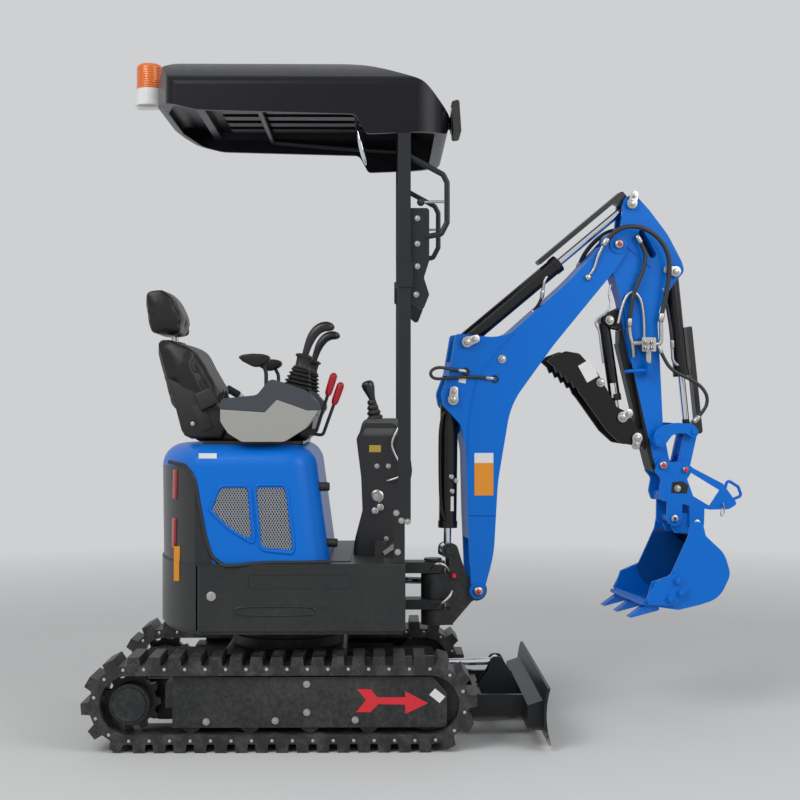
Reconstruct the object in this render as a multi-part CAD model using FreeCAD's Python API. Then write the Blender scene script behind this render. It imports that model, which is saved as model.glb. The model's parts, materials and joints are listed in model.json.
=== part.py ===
# Mini excavator: tracks, slewing house with canopy, and a swinging boom, arm, bucket and thumb.
# Frame: +X forward, +Y to the machine's left, +Z up, floor at z = 0, millimetres.
# Shapes are drawn with x = 0 on the slew axis, and the last step moves them all so that
# the origin is the middle of the machine's rectangle on the floor.
import FreeCAD, Part
import math
import os
from FreeCAD import Placement, Rotation, Vector

# Driving dimensions: alias, value, meaning. Angles are in degrees.
SIZES = (
    ("track_gauge", 800, "between the middles of the two tracks"),
    ("track_width", 180, "width of a rubber track"),
    ("wheel_base", 1046, "from sprocket axle to idler axle"),
    ("belt_inner", 102, "inside radius of the belt round a wheel"),
    ("belt_outer", 136, "outside radius of the belt round a wheel"),
    ("lug_height", 30, "lug depth outside the belt"),
    ("lug_length", 46, "lug length along the belt, at its foot"),
    ("link_count", 40, "lugs round one track"),
    ("drum_radius", 70, "travel motor cover"),
    ("sprocket_teeth", 11, "teeth of the drive sprocket"),
    ("roller_radius", 38, "lower track roller"),
    ("side_plate", 10, "thickness of a track frame plate"),
    ("seat_gap", 0.3, "clearance of pieces that seat without touching"),
    ("pin_gap", 0.5, "clearance of a pin in its bore"),
    ("blade_width", 980, "dozer blade, end to end"),
    ("blade_reach", 947, "front of the blade from the slew axis"),
    ("blade_top", 221, "top edge of the blade"),
    ("blade_foot", 23, "cutting edge above the floor"),
    ("blade_skin", 10, "thickness of the blade's plate"),
    ("blade_pivot_x", 300, "blade arm pivot from the slew axis"),
    ("blade_pivot_z", 185, "blade arm pivot above the floor"),
    ("slew_radius", 190, "outside radius of the slew ring"),
    ("slew_height", 400, "underside of the house"),
    ("floor_plate", 12, "thickness of the house's bottom plate"),
    ("deck_height", 643, "underside of the deck plate"),
    ("deck_plate", 6, "thickness of the deck plate"),
    ("house_width", 860, "width over the side skirts"),
    ("house_front", 439, "front edge of the deck"),
    ("tail_reach", 475, "tail from the slew axis"),
    ("skirt_wall", 8, "thickness of the skirts"),
    ("hood_height", 1066, "top of the engine hood"),
    ("hood_wall", 6, "thickness of the hood"),
    ("hood_round", 84, "rounding of the hood's top edges"),
    ("post_section", 45, "canopy post, square tube"),
    ("post_spacing", 800, "between the middles of the two posts"),
    ("roof_width", 850, "width of the canopy roof"),
    ("roof_crown", 2494, "top of the roof"),
    ("swing_pin_x", 551, "swing axis from the slew axis"),
    ("swing_rest", 9, "boom group turned left at rest"),
    ("boom_half", 60, "half the width of the boom"),
    ("arm_half", 45, "half the width of the arm"),
    ("ear_plate", 12, "thickness of the pin ears"),
    ("side_gap", 4, "side clearance between moving ears"),
    ("pin_radius", 16, "main pins"),
    ("small_pin", 12, "cylinder pins"),
    ("lift_barrel", 34, "outside radius of the lift cylinder's barrel"),
    ("bucket_width", 380, "over the bucket's side plates"),
    ("bucket_skin", 8, "thickness of the bucket's shell"),
)

# Pins of the front end in the boom's own plane: u forward from the swing axis, height z.
PIN_PLACES = (
    ("boom_foot", 161, 502),
    ("lift_rod", 56, 656),
    ("lift_base", 64, 1229),
    ("crowd_base", 118, 1448),
    ("boom_tip", 719, 1831),
    ("crowd_rod", 777, 1992),
    ("curl_base", 955, 1730),
    ("rocker_foot", 876, 1070),
    ("rocker_tip", 1022, 1105),
    ("arm_tip", 899, 975),
    ("link_foot", 989, 957),
    ("hook_pin", 946, 766),
    ("latch_pin", 1037, 747),
    ("thumb_foot", 795, 1080),
    ("thumb_rod", 737, 1162),
    ("thumb_base", 680, 1538),
)

doc = FreeCAD.newDocument("MiniExcavator")
sheet = doc.addObject("Spreadsheet::Sheet", "sizes")
row = 0
for alias, value, meaning in SIZES:
    row += 1
    sheet.set("A%d" % row, alias)
    sheet.set("B%d" % row, str(value))
    sheet.setAlias("B%d" % row, alias)
    sheet.set("C%d" % row, meaning)
for pin_name, pin_u, pin_z in PIN_PLACES:
    for letter, value in (("u", pin_u), ("z", pin_z)):
        row += 1
        alias = pin_name + "_" + letter
        sheet.set("A%d" % row, alias)
        sheet.set("B%d" % row, str(value))
        sheet.setAlias("B%d" % row, alias)
doc.recompute()


class Dimensions:
    """Reads a driving dimension from the sheet by its alias."""

    def __getattr__(self, alias):
        return float(sheet.get(alias))


S = Dimensions()
AXLE = S.belt_outer + S.lug_height
DECK = S.deck_height + S.deck_plate
PIN = {name: (float(sheet.get(name + "_u")), float(sheet.get(name + "_z"))) for name, _, _ in PIN_PLACES}
MACHINE = Placement()
BOOM_PLANE = Placement(Vector(S.swing_pin_x, 0, 0), Rotation(Vector(0, 0, 1), S.swing_rest))
nodes = []


# Outlines and solids

def rounded(corners, flat=False):
    """Closed wire through corners (a, b) or (a, b, radius), in x, z or lying flat in x, y.

    A radius is limited where two corners share a run that is too short for both.
    """
    points = [Vector(c[0], c[1], 0) if flat else Vector(c[0], 0, c[1]) for c in corners]
    count = len(points)
    halves, runs = [], []
    for i, here in enumerate(points):
        radius = corners[i][2] if len(corners[i]) > 2 else 0
        half = (points[i - 1] - here).getAngle(points[(i + 1) % count] - here) / 2
        halves.append(half)
        runs.append(radius / math.tan(half) if radius else 0)
    for i in range(count):
        following = (i + 1) % count
        length = (points[following] - points[i]).Length
        wanted = runs[i] + runs[following]
        if wanted > length:
            runs[i] *= length / wanted * 0.999
            runs[following] *= length / wanted * 0.999
    stops = []
    for i, here in enumerate(points):
        if runs[i] < 0.01:
            stops.append((here, None, here))
            continue
        back = (points[i - 1] - here).normalize()
        ahead = (points[(i + 1) % count] - here).normalize()
        middle = (back + ahead).normalize()
        radius = runs[i] * math.tan(halves[i])
        centre = here + middle * (radius / math.sin(halves[i]))
        stops.append((here + back * runs[i], centre - middle * radius, here + ahead * runs[i]))
    edges = []
    for i, (start, bulge, end) in enumerate(stops):
        if bulge is not None:
            edges.append(Part.Arc(start, bulge, end).toShape())
        following = stops[(i + 1) % count][0]
        if (following - end).Length > 1e-6:
            edges.append(Part.LineSegment(end, following).toShape())
    return Part.Wire(edges)


def slab(corners, low, high):
    """Solid of an x, z outline between two values of y."""
    face = Part.Face(rounded(corners))
    face.translate(Vector(0, low, 0))
    return face.extrude(Vector(0, high - low, 0))


def plate(corners, low, high):
    """Solid of an x, y outline between two heights."""
    face = Part.Face(rounded(corners, flat=True))
    face.translate(Vector(0, 0, low))
    return face.extrude(Vector(0, 0, high - low))


def block(low, high):
    """Box between two opposite corners."""
    size = [b - a for a, b in zip(low, high)]
    return Part.makeBox(size[0], size[1], size[2], Vector(*low))


def bar(start, end, radius):
    """Round bar between two points."""
    start, end = Vector(*start), Vector(*end)
    return Part.makeCylinder(radius, (end - start).Length, start, end - start)


def boss(centre, radius, low, high):
    """Cylinder along y round a point (x, z)."""
    return Part.makeCylinder(radius, high - low, Vector(centre[0], low, centre[1]), Vector(0, 1, 0))


def pair(make, low, high):
    """The same slab on both sides of the middle plane."""
    return make(low, high).fuse(make(-high, -low))


def both_bosses(centre, radius, low, high):
    """The same boss on both sides of the middle plane."""
    return boss(centre, radius, low, high).fuse(boss(centre, radius, -high, -low))


def bent_tube(points, radius, bend):
    """Round tube of straight runs joined by tangent arcs."""
    stops = [Vector(*point) for point in points]
    solid = None
    last = stops[0]
    for i in range(1, len(stops)):
        here = stops[i]
        if i == len(stops) - 1:
            piece = bar(last, here, radius)
            solid = piece if solid is None else solid.fuse(piece)
            break
        back = (last - here).normalize()
        ahead = (stops[i + 1] - here).normalize()
        half = back.getAngle(ahead) / 2
        run = bend / math.tan(half)
        middle = (back + ahead).normalize()
        centre = here + middle * (bend / math.sin(half))
        entry, leave = here + back * run, here + ahead * run
        piece = bar(last, entry, radius)
        solid = piece if solid is None else solid.fuse(piece)
        ring = Part.Face(Part.Wire(Part.makeCircle(radius, entry, back)))
        axis = (entry - centre).cross(leave - centre)
        turn = math.degrees((entry - centre).getAngle(leave - centre))
        solid = solid.fuse(ring.revolve(centre, axis, turn))
        last = leave
    return solid


def joined(shapes):
    """One solid out of touching shapes."""
    result = shapes[0]
    if len(shapes) > 1:
        result = shapes[0].multiFuse(shapes[1:])
    return result.removeSplitter()


def less(shape, cutters):
    """Shape with every cutter taken away."""
    for cutter in cutters:
        shape = shape.cut(cutter)
    return shape


def ahead_of(start, end, distance):
    """Point (x, z) at a distance from start towards end."""
    length = math.hypot(end[0] - start[0], end[1] - start[1])
    return (start[0] + (end[0] - start[0]) * distance / length,
            start[1] + (end[1] - start[1]) * distance / length)


# Objects of the document

def keep(label, shape, frame=MACHINE):
    """Adds a sub-part whose shape is already worked out."""
    part = doc.addObject("Part::Feature", label)
    part.Label = label
    part.Shape = shape
    part.Placement = frame.multiply(shape.Placement)
    nodes.append(part)
    return part


# Tracks

def along_track(distance, radius):
    """Point (x, z) and unit normal on the loop, by distance along its pitch line."""
    pitch_radius = (S.belt_inner + S.belt_outer) / 2
    half = S.wheel_base / 2
    arc = math.pi * pitch_radius
    distance %= 2 * (S.wheel_base + arc)
    if distance < S.wheel_base:
        return (-half + distance, AXLE - radius), (0, -1)
    distance -= S.wheel_base
    if distance < arc:
        turn = -math.pi / 2 + distance / pitch_radius
        normal = (math.cos(turn), math.sin(turn))
        return (half + radius * normal[0], AXLE + radius * normal[1]), normal
    distance -= arc
    if distance < S.wheel_base:
        return (half - distance, AXLE + radius), (0, 1)
    distance -= S.wheel_base
    turn = math.pi / 2 + distance / pitch_radius
    normal = (math.cos(turn), math.sin(turn))
    return (-half + radius * normal[0], AXLE + radius * normal[1]), normal


def track_loop():
    """One rubber track: a belt with a lug at every link, drawn as one outline."""
    pitch_radius = (S.belt_inner + S.belt_outer) / 2
    length = 2 * S.wheel_base + 2 * math.pi * pitch_radius
    links = int(S.link_count)
    outer = []
    for link in range(links):
        foot, normal = along_track((link + 0.5) * length / links, S.belt_outer)
        tangent = (-normal[1], normal[0])
        for side, depth in ((-0.5, 0), (-0.42, 1), (0.42, 1), (0.5, 0)):
            run = side * S.lug_length
            rise = depth * S.lug_height
            outer.append((foot[0] + tangent[0] * run + normal[0] * rise,
                          foot[1] + tangent[1] * run + normal[1] * rise))
    half = S.wheel_base / 2
    low, high = AXLE - S.belt_inner, AXLE + S.belt_inner
    inner = Part.Wire([
        Part.LineSegment(Vector(-half, 0, low), Vector(half, 0, low)).toShape(),
        Part.Arc(Vector(half, 0, low), Vector(half + S.belt_inner, 0, AXLE), Vector(half, 0, high)).toShape(),
        Part.LineSegment(Vector(half, 0, high), Vector(-half, 0, high)).toShape(),
        Part.Arc(Vector(-half, 0, high), Vector(-half - S.belt_inner, 0, AXLE), Vector(-half, 0, low)).toShape()])
    ring = Part.Face(rounded(outer)).cut(Part.Face(inner))
    ring.translate(Vector(0, -S.track_width / 2, 0))
    return ring.extrude(Vector(0, S.track_width, 0))


def on_side(shape, side):
    """A track piece drawn round its own middle plane, set on one side of the machine."""
    if side < 0:
        shape = shape.mirror(Vector(0, 0, 0), Vector(0, 1, 0))
    shape.translate(Vector(0, side * S.track_gauge / 2, 0))
    return shape


# Across a track, y is measured outwards from the track's middle plane.
PLATE_OUT = 72
PLATE_IN = -65
ROLLER_XS = (-310, -105, 105, 310)


def sprocket():
    """Toothed drive wheel with the round cover of its motor."""
    teeth = int(S.sprocket_teeth)
    tip = S.belt_inner - S.seat_gap
    outline = []
    for tooth in range(teeth):
        for share, radius in ((-0.32, 0.84), (-0.16, 1), (0.16, 1), (0.32, 0.84)):
            turn = 2 * math.pi * (tooth + share) / teeth
            outline.append((tip * radius * math.cos(turn), tip * radius * math.sin(turn)))
    wheel = slab(outline, -18, 18)
    drum = boss((0, 0), S.drum_radius, PLATE_IN + S.side_plate, 76)
    rim = boss((0, 0), S.drum_radius - 12, 76, 84)
    whole = joined([wheel, drum, rim])
    whole.translate(Vector(-S.wheel_base / 2, 0, AXLE))
    return whole


def idler():
    """Front wheel with a centre groove, its hub and its axle."""
    radius = S.belt_inner - S.seat_gap
    wheel = boss((0, 0), radius, -35, 35).cut(boss((0, 0), radius, -9, 9).cut(boss((0, 0), radius - 14, -9, 9)))
    hub = boss((0, 0), 45, -52, 52)
    axle = boss((0, 0), 18, PLATE_IN, PLATE_OUT - S.side_plate)
    whole = joined([wheel, hub, axle])
    whole.translate(Vector(S.wheel_base / 2, 0, AXLE))
    return whole


def track_frame():
    """Side plates, beam, lower rollers and the fork that carries the idler."""
    outer = slab(((-374, 84), (583, 84, 12), (583, 205, 20), (535, 260, 12), (-374, 260)),
                 PLATE_OUT - S.side_plate, PLATE_OUT)
    inner = slab(((-592, 120, 20), (-440, 84, 30), (570, 84, 30), (570, 230, 30), (-592, 230, 20)),
                 PLATE_IN - S.side_plate, PLATE_IN)
    inner = inner.cut(boss((S.wheel_base / 2, AXLE), 18 + S.seat_gap, PLATE_IN - S.side_plate, PLATE_IN))
    beam = block((-400, PLATE_IN, 152), (400, PLATE_OUT - S.side_plate, 236))
    rollers = [boss((x, AXLE - S.belt_inner + S.roller_radius + S.seat_gap), S.roller_radius,
                    PLATE_IN, PLATE_OUT - S.side_plate) for x in ROLLER_XS]
    return joined([outer, inner, beam] + rollers)


for side_name, side in (("right", -1), ("left", 1)):
    keep("track_" + side_name, on_side(track_loop(), side))
    keep("sprocket_" + side_name, on_side(sprocket(), side))
    keep("idler_" + side_name, on_side(idler(), side))
    keep("track_frame_" + side_name, on_side(track_frame(), side))


# Undercarriage middle

LEG_REACH = S.track_gauge / 2 + PLATE_IN - S.side_plate
BLADE_PIVOT = (S.blade_pivot_x, S.blade_pivot_z)
RAM_BASE = (250, 215)
RAM_EYE = (790, 229)
BLADE_ARM = (226, 246)


def car_body():
    """Welded middle with four legs to the track frames, slew base, blade and ram lugs."""
    middle = slab(((-235, 150, 25), (215, 150, 25), (225, 310, 15), (-225, 310, 15)), -300, 300)
    legs = [slab(((x0, 112), (x1, 112), (x1, 245), (x0, 245)), -LEG_REACH, LEG_REACH)
            for x0, x1 in ((-225, -130), (120, 215))]
    ring = Part.makeCylinder(S.slew_radius + 20, 38, Vector(0, 0, 307))
    bearing = Part.makeCylinder(S.slew_radius, 27, Vector(0, 0, 345))
    lugs = []
    for side in (-1, 1):
        low, high = sorted((side * 200, side * 222))
        lugs.append(slab(((200, 150), (S.blade_pivot_x, 150, 10), (S.blade_pivot_x + 32, 170, 10),
                          (S.blade_pivot_x + 32, 200, 20), (S.blade_pivot_x, 225, 20), (200, 240)), low, high))
        low, high = sorted((side * 200, side * 252))
        lugs.append(boss(BLADE_PIVOT, S.pin_radius, low, high))
    ram_lugs = pair(lambda low, high: slab(((200, 190), (RAM_BASE[0] + 22, 190, 15),
                                            (RAM_BASE[0] + 22, 240, 15), (200, 240)), low, high), 32, 44)
    ram_pin = boss(RAM_BASE, S.small_pin, -48, 48)
    return joined([middle, ring, bearing, ram_lugs, ram_pin] + legs + lugs)


def blade():
    """Curved dozer blade on two arms, with the ram's upright bracket."""
    front, foot, top = S.blade_reach, S.blade_foot, S.blade_top
    belly = front - 17
    middle = (foot + top) / 2
    face = Part.Wire([
        Part.Arc(Vector(front, 0, foot), Vector(belly, 0, middle), Vector(front - 3, 0, top)).toShape(),
        Part.LineSegment(Vector(front - 3, 0, top), Vector(front - 3 - S.blade_skin, 0, top)).toShape(),
        Part.Arc(Vector(front - 3 - S.blade_skin, 0, top), Vector(belly - S.blade_skin, 0, middle),
                 Vector(front - S.blade_skin, 0, foot)).toShape(),
        Part.LineSegment(Vector(front - S.blade_skin, 0, foot), Vector(front, 0, foot)).toShape()])
    skin = Part.Face(face)
    skin.translate(Vector(0, -S.blade_width / 2, 0))
    skin = skin.extrude(Vector(0, S.blade_width, 0))
    stiffener = slab(((870, 62), (front - 22, 62), (front - 24, 168), (870, 150)), -430, 430)
    arms = pair(lambda low, high: slab(((S.blade_pivot_x - 34, S.blade_pivot_z, 33), (S.blade_pivot_x, 152, 33),
                                        (700, 52, 60), (870, 62), (870, 150), (720, 150, 60),
                                        (S.blade_pivot_x, 219, 33)), low, high), *BLADE_ARM)
    arms = less(arms, [boss(BLADE_PIVOT, S.pin_radius + S.pin_gap, -260, 260)])
    tie = block((700, -BLADE_ARM[0], 62), (724, BLADE_ARM[0], 140))
    ears = pair(lambda low, high: slab(((716, 62), (870, 62), (870, 150), (830, 215, 20), (812, 252, 20),
                                        (768, 252, 20), (762, 200, 30), (716, 140)), low, high), 30, 42)
    stubs = both_bosses(RAM_EYE, S.small_pin, 28, 46)
    return joined([skin, stiffener, arms, tie, ears, stubs])


def rod_guard(eye, base, length, low, high, half):
    """Guard bar beside a rod, carried on its eye; low and high are distances out from the axis."""
    run = math.hypot(base[0] - eye[0], base[1] - eye[1])
    along = ((base[0] - eye[0]) / run, (base[1] - eye[1]) / run)

    def place(forward, out, radius=0):
        return (eye[0] + along[0] * forward + along[1] * out,
                eye[1] + along[1] * forward - along[0] * out, radius)

    return slab((place(-14, 12), place(-14, high, 12), place(length, high, 5), place(length, low, 5),
                 place(44, low, 12), place(26, 12)), -half, half)


def ram(base, eye, barrel_radius, rod_radius, barrel_length, eye_half, eye_radius, retract):
    """Hydraulic cylinder from its base pin to its rod eye: barrel solid and rod solid.

    The bore is deep enough for the rod to run in by the retract length.
    """
    def on_axis(point):
        return (point[0], 0, point[1])

    gland = ahead_of(base, eye, barrel_length)
    cap = ahead_of(base, eye, barrel_length - 26)
    neck = ahead_of(base, eye, eye_radius * 0.6)
    bore_end = eye_radius + 14
    inside = ahead_of(base, eye, bore_end)
    rod_start = ahead_of(base, eye, bore_end + retract + 4)
    barrel = joined([boss(base, eye_radius, -eye_half, eye_half), bar(on_axis(neck), on_axis(gland), barrel_radius),
                     bar(on_axis(cap), on_axis(gland), barrel_radius + 3)])
    barrel = less(barrel, [bar(on_axis(inside), on_axis(gland), rod_radius + S.pin_gap)])
    rod = joined([bar(on_axis(rod_start), on_axis(ahead_of(eye, base, eye_radius * 0.6)), rod_radius),
                  boss(eye, eye_radius, -eye_half, eye_half)])
    return barrel, rod


keep("car_body", car_body())
keep("blade", blade())
blade_barrel, blade_rod = ram(RAM_BASE, RAM_EYE, 28, 14, 345, 26, 21, 14)
blade_barrel = blade_barrel.cut(boss(RAM_BASE, S.small_pin + S.pin_gap, -40, 40))
keep("blade_cylinder_barrel", blade_barrel)
keep("blade_cylinder_rod", blade_rod)


# House

HALF = S.house_width / 2
NOSE_HALF = 46
KNUCKLE = 46
LOWER_LUG = (432, 470)
UPPER_LUG = (570, 612)
SWING_RAM_Z = 525
SWING_BARREL = 28
SWING_ROD = 14
SWING_EYE = 14
SWING_RAM_BASE = (150, 150)
TAIL_STRAIGHT = 190
CAST_FACE = 175


def tail_plan(inset):
    """Plan outline of the house with its curved tail, drawn inside the skirts by an inset."""
    half = HALF - inset
    front, tail = S.house_front - inset, S.tail_reach - inset
    side_end = TAIL_STRAIGHT - S.tail_reach
    return Part.Wire([
        Part.LineSegment(Vector(front, -half, 0), Vector(front, half, 0)).toShape(),
        Part.LineSegment(Vector(front, half, 0), Vector(side_end, half, 0)).toShape(),
        Part.Arc(Vector(side_end, half, 0), Vector(-tail, 0, 0), Vector(side_end, -half, 0)).toShape(),
        Part.LineSegment(Vector(side_end, -half, 0), Vector(front, -half, 0)).toShape()])


def tail_prism(inset, low, high):
    """Solid of the house's plan outline between two heights."""
    face = Part.Face(tail_plan(inset))
    face.translate(Vector(0, 0, low))
    return face.extrude(Vector(0, 0, high - low))


def seam_side(low, high):
    """Everything behind the sloping seam between tail and skirts."""
    seam = [(x - S.tail_reach, z) for x, z in ((356, low), (325, 440), (293, 480), (261, 543), (236, high))]
    return slab([(-700, low)] + seam + [(-700, high)], -HALF - 50, HALF + 50)


def swing_nose():
    """Two stacked lugs on a box beam that hold the swing pin."""
    reach = S.swing_pin_x
    lug = ((300, -NOSE_HALF), (reach + KNUCKLE, -NOSE_HALF, KNUCKLE - 1), (reach + KNUCKLE, NOSE_HALF, KNUCKLE - 1),
           (300, NOSE_HALF))
    lugs = [plate(lug, *LOWER_LUG), plate(lug, *UPPER_LUG)]
    beam = block((250, -NOSE_HALF, S.slew_height), (440, NOSE_HALF, S.deck_height))
    hole = Part.makeCylinder(24 + S.pin_gap, 300, Vector(reach, 0, 400))
    return less(joined(lugs + [beam]), [hole])


def house_frame():
    """Bottom plate with the slew ring's upper half, the nose and the swing cylinder's lug."""
    bottom = tail_prism(S.skirt_wall, S.slew_height, S.slew_height + S.floor_plate)
    ring = Part.makeCylinder(S.slew_radius, S.slew_height - 372.5, Vector(0, 0, 372.5))
    x, y = SWING_RAM_BASE
    top = S.slew_height + S.floor_plate
    shelf = SWING_RAM_Z - SWING_BARREL - S.side_gap
    ears = [block((x - 30, y - 30, top), (x + 30, y + 30, shelf)),
            Part.makeCylinder(S.small_pin, SWING_RAM_Z + SWING_EYE + 14 - shelf, Vector(x, y, shelf))]
    return joined([bottom, ring, swing_nose()] + ears)


def skirts():
    """Side panels of the house, open in front round the nose."""
    low, high = S.slew_height + S.floor_plate + S.seat_gap, S.deck_height
    shell = tail_prism(0, low, high).cut(tail_prism(S.skirt_wall, low - 1, high + 1))
    shell = less(shell, [block((300, -235, low - 1), (500, 235, high + 1)), seam_side(low - 1, high + 1)])
    recess = slab(((-115, 560, 14), (246, 560, 14), (246, 612, 14), (-115, 612, 14)), -HALF - 1, -HALF + 3)
    recess = recess.fuse(recess.mirror(Vector(0, 0, 0), Vector(0, 1, 0)))
    return shell.cut(recess)


def tail_weight():
    """Solid cast counterweight that closes the tail."""
    low, high = S.slew_height + S.floor_plate + S.seat_gap, S.deck_height
    cast = tail_prism(0, low, high).common(seam_side(low - 1, high + 1))
    return cast.cut(block((CAST_FACE - S.tail_reach, -HALF + S.skirt_wall, low - 1),
                          (0, HALF - S.skirt_wall, high + 1)))


MAT = ((170, -360, 12), (244, -360, 12), (244, 360, 12), (170, 360, 12))
MAT_THICK = 3


def deck_floor():
    """Deck plate with the ribbed mat's raised panel where the operator steps in."""
    return joined([tail_prism(0, S.deck_height, DECK), plate(MAT, DECK, DECK + MAT_THICK)])


def hood_section(height, front, rear, half, inset):
    """Rounded plan section of the hood at one height."""
    front, rear, half = front - inset, rear + inset, half - inset
    corner = 110 - inset
    tail = rear + 165
    d = corner * (1 - math.sqrt(0.5))
    return Part.Wire([
        Part.LineSegment(Vector(front, -half + corner, height), Vector(front, half - corner, height)).toShape(),
        Part.Arc(Vector(front, half - corner, height), Vector(front - d, half - d, height),
                 Vector(front - corner, half, height)).toShape(),
        Part.LineSegment(Vector(front - corner, half, height), Vector(tail, half, height)).toShape(),
        Part.Arc(Vector(tail, half, height), Vector(rear, 0, height), Vector(tail, -half, height)).toShape(),
        Part.LineSegment(Vector(tail, -half, height), Vector(front - corner, -half, height)).toShape(),
        Part.Arc(Vector(front - corner, -half, height), Vector(front - d, -half + d, height),
                 Vector(front, -half + corner, height)).toShape()])


def hood_shell():
    """Hollow hood over the engine, tapered upwards."""
    low, high = DECK, S.hood_height
    wall = S.hood_wall
    outside = Part.makeLoft([hood_section(low, 167, -S.tail_reach + 6, HALF - 15, 0),
                             hood_section(high, 112, -S.tail_reach, HALF - 50, 0)], True, True)
    top_edges = [edge for edge in outside.Edges if edge.BoundBox.ZMin > high - 1]
    outside = outside.makeFillet(S.hood_round, top_edges)
    inside = Part.makeLoft([hood_section(low - 1, 167, -S.tail_reach + 6, HALF - 15, wall),
                            hood_section(high - wall, 112, -S.tail_reach, HALF - 50, wall)], True, True)
    inside_edges = [edge for edge in inside.Edges if edge.BoundBox.ZMin > high - wall - 1]
    inside = inside.makeFillet(S.hood_round - wall, inside_edges)
    return outside.cut(inside)


SEAM_RISE = ((237, DECK - 5), (204, 741), (179, 869, 200), (162, 950, 60), (123, 990))
REAR_SEAM = [(-700, DECK - 5)] + [(c[0] - S.tail_reach, *c[1:]) for c in SEAM_RISE] + [(-700, 985)]
GRILLES = (((-212, 915, 12), (-121, 915, 12), (-103, 727, 15), (-186, 778, 30), (-246, 838, 20)),
           ((-89, 915, 12), (13, 915, 12), (41, 695, 15), (-68, 707, 15)))


def hood():
    """Blue hood in front of the rear seam, with its grille windows."""
    body = hood_shell().cut(slab(REAR_SEAM, -600, 600))
    for window in GRILLES:
        body = body.cut(slab(window, -600, 600))
    return body


def rear_cover():
    """Dark cover behind the rear seam."""
    return hood_shell().common(slab(REAR_SEAM, -600, 600))


def grilles():
    """Four louvred screens seated in the hood's windows, thinner than its wall."""
    shell = hood_shell()
    screens = []
    for window in GRILLES:
        inside = Part.Face(rounded(window)).makeOffset2D(-S.seat_gap)
        inside.translate(Vector(0, -600, 0))
        screen = shell.common(inside.extrude(Vector(0, 1200, 0)))
        screens.extend(screen.Solids)
    return Part.Compound(screens)


keep("house_frame", house_frame())
keep("skirts", skirts())
keep("tail_weight", tail_weight())
keep("deck_floor", deck_floor())
keep("engine_hood", hood())
keep("rear_cover", rear_cover())
keep("grilles", grilles())
keep("engine_block", block((85 - S.tail_reach, -230, DECK), (-60, 230, S.hood_height - 106)))


# Seat, consoles and controls

SEAT_PLATE = (S.hood_height, S.hood_height + 12)


def seat_base():
    """Plate on the hood that carries the seat and both consoles."""
    return plate(((-300, -300, 40), (70, -300, 40), (70, 300, 40), (-300, 300, 40)), *SEAT_PLATE)


PAD_REAR = (-345, 1175)
PAD_FRONT = (60, 1205)


def pad_top(x):
    """Height of the seat pad's upper face."""
    return PAD_REAR[1] + (x - PAD_REAR[0]) * (PAD_FRONT[1] - PAD_REAR[1]) / (PAD_FRONT[0] - PAD_REAR[0])


def seat_cushion():
    """Seat pad with a raised front edge."""
    low = SEAT_PLATE[1] + S.seat_gap
    return slab(((PAD_REAR[0], low, 20), (100, low, 30), (120, 1190, 40), (*PAD_FRONT, 60), (*PAD_REAR, 20)), -225, 225)


def seat_back():
    """Reclined back with its headrest."""
    front, rear = -255, -360
    back = slab(((rear, pad_top(rear) + S.seat_gap, 15), (front, pad_top(front) + S.seat_gap, 20),
                 (-248, 1245, 60), (-285, 1310, 120), (-345, 1418, 60), (-462, 1455, 30), (-468, 1430, 30),
                 (-432, 1286, 200), (-402, 1190)), -225, 225)
    neck = slab(((-455, 1440), (-410, 1440), (-410, 1480), (-455, 1480)), -60, 60)
    head = slab(((-506, 1476, 25), (-460, 1463, 25), (-396, 1468, 30), (-394, 1535, 60), (-430, 1610, 50),
                 (-465, 1641, 25), (-529, 1634, 20)), -130, 130)
    return joined([back, neck, head])


CONSOLE = ((-218, 1150, 30), (-190, 1108, 30), (-142, SEAT_PLATE[1], 30), (9, SEAT_PLATE[1], 40), (88, 1128, 40),
           (140, 1205, 30), (85, 1262, 30), (-41, 1303, 25), (-88, 1244, 30), (-218, 1231, 20))
CONSOLE_HALF = (262, 385)


def console(side):
    """Arm console beside the seat."""
    low, high = sorted((side * CONSOLE_HALF[0], side * CONSOLE_HALF[1]))
    return slab(CONSOLE, low, high)


BOOT_FOLDS = 5
BOOT_HEIGHT = 140


def bellows_boot(foot_radius, top_radius, height, folds):
    """Rubber boot turned from a profile that narrows in folds, standing on the origin."""
    profile = [Vector(0, 0, 0), Vector(foot_radius, 0, 0)]
    for fold in range(folds):
        radius = foot_radius + (top_radius - foot_radius) * (fold + 0.5) / folds
        for share, squeeze in ((0.1, 0.86), (0.5, 1), (0.9, 0.86)):
            profile.append(Vector(radius * squeeze, 0, (fold + share) * height / folds))
    profile += [Vector(top_radius, 0, height), Vector(0, 0, height), Vector(0, 0, 0)]
    return Part.Face(Part.makePolygon(profile)).revolve(Vector(0, 0, 0), Vector(0, 0, 1), 360)


def armrest(side):
    """Boat-shaped arm pad on a bent tube from the console."""
    y = side * 300
    pad = slab(((-158, 1388, 12), (-44, 1388, 14), (-44, 1362, 14), (-76, 1350, 20), (-120, 1364, 20)), y - 32, y + 32)
    stem = bent_tube(((-62, y, 1270), (-62, y, 1330), (-84, y, 1368)), 7, 16)
    return joined([pad, stem]).cut(slab(CONSOLE, y - 80, y + 80))


def joystick(side):
    """Rubber boot with a curved grip, on a console."""
    y = side * 324
    foot = bellows_boot(50, 26, BOOT_HEIGHT, BOOT_FOLDS)
    foot.Placement = Placement(Vector(39, y, 1257), Rotation(Vector(0, 0, 1), Vector(0.22, 0, 1)))
    collar = bar((69, y, 1392), (72, y, 1408), 32)
    grip = bent_tube(((70, y, 1400), (86, y, 1462), (152, y, 1503)), 19, 30)
    whole = joined([foot, collar, grip])
    return whole.cut(slab(CONSOLE, y - 80, y + 80))


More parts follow.
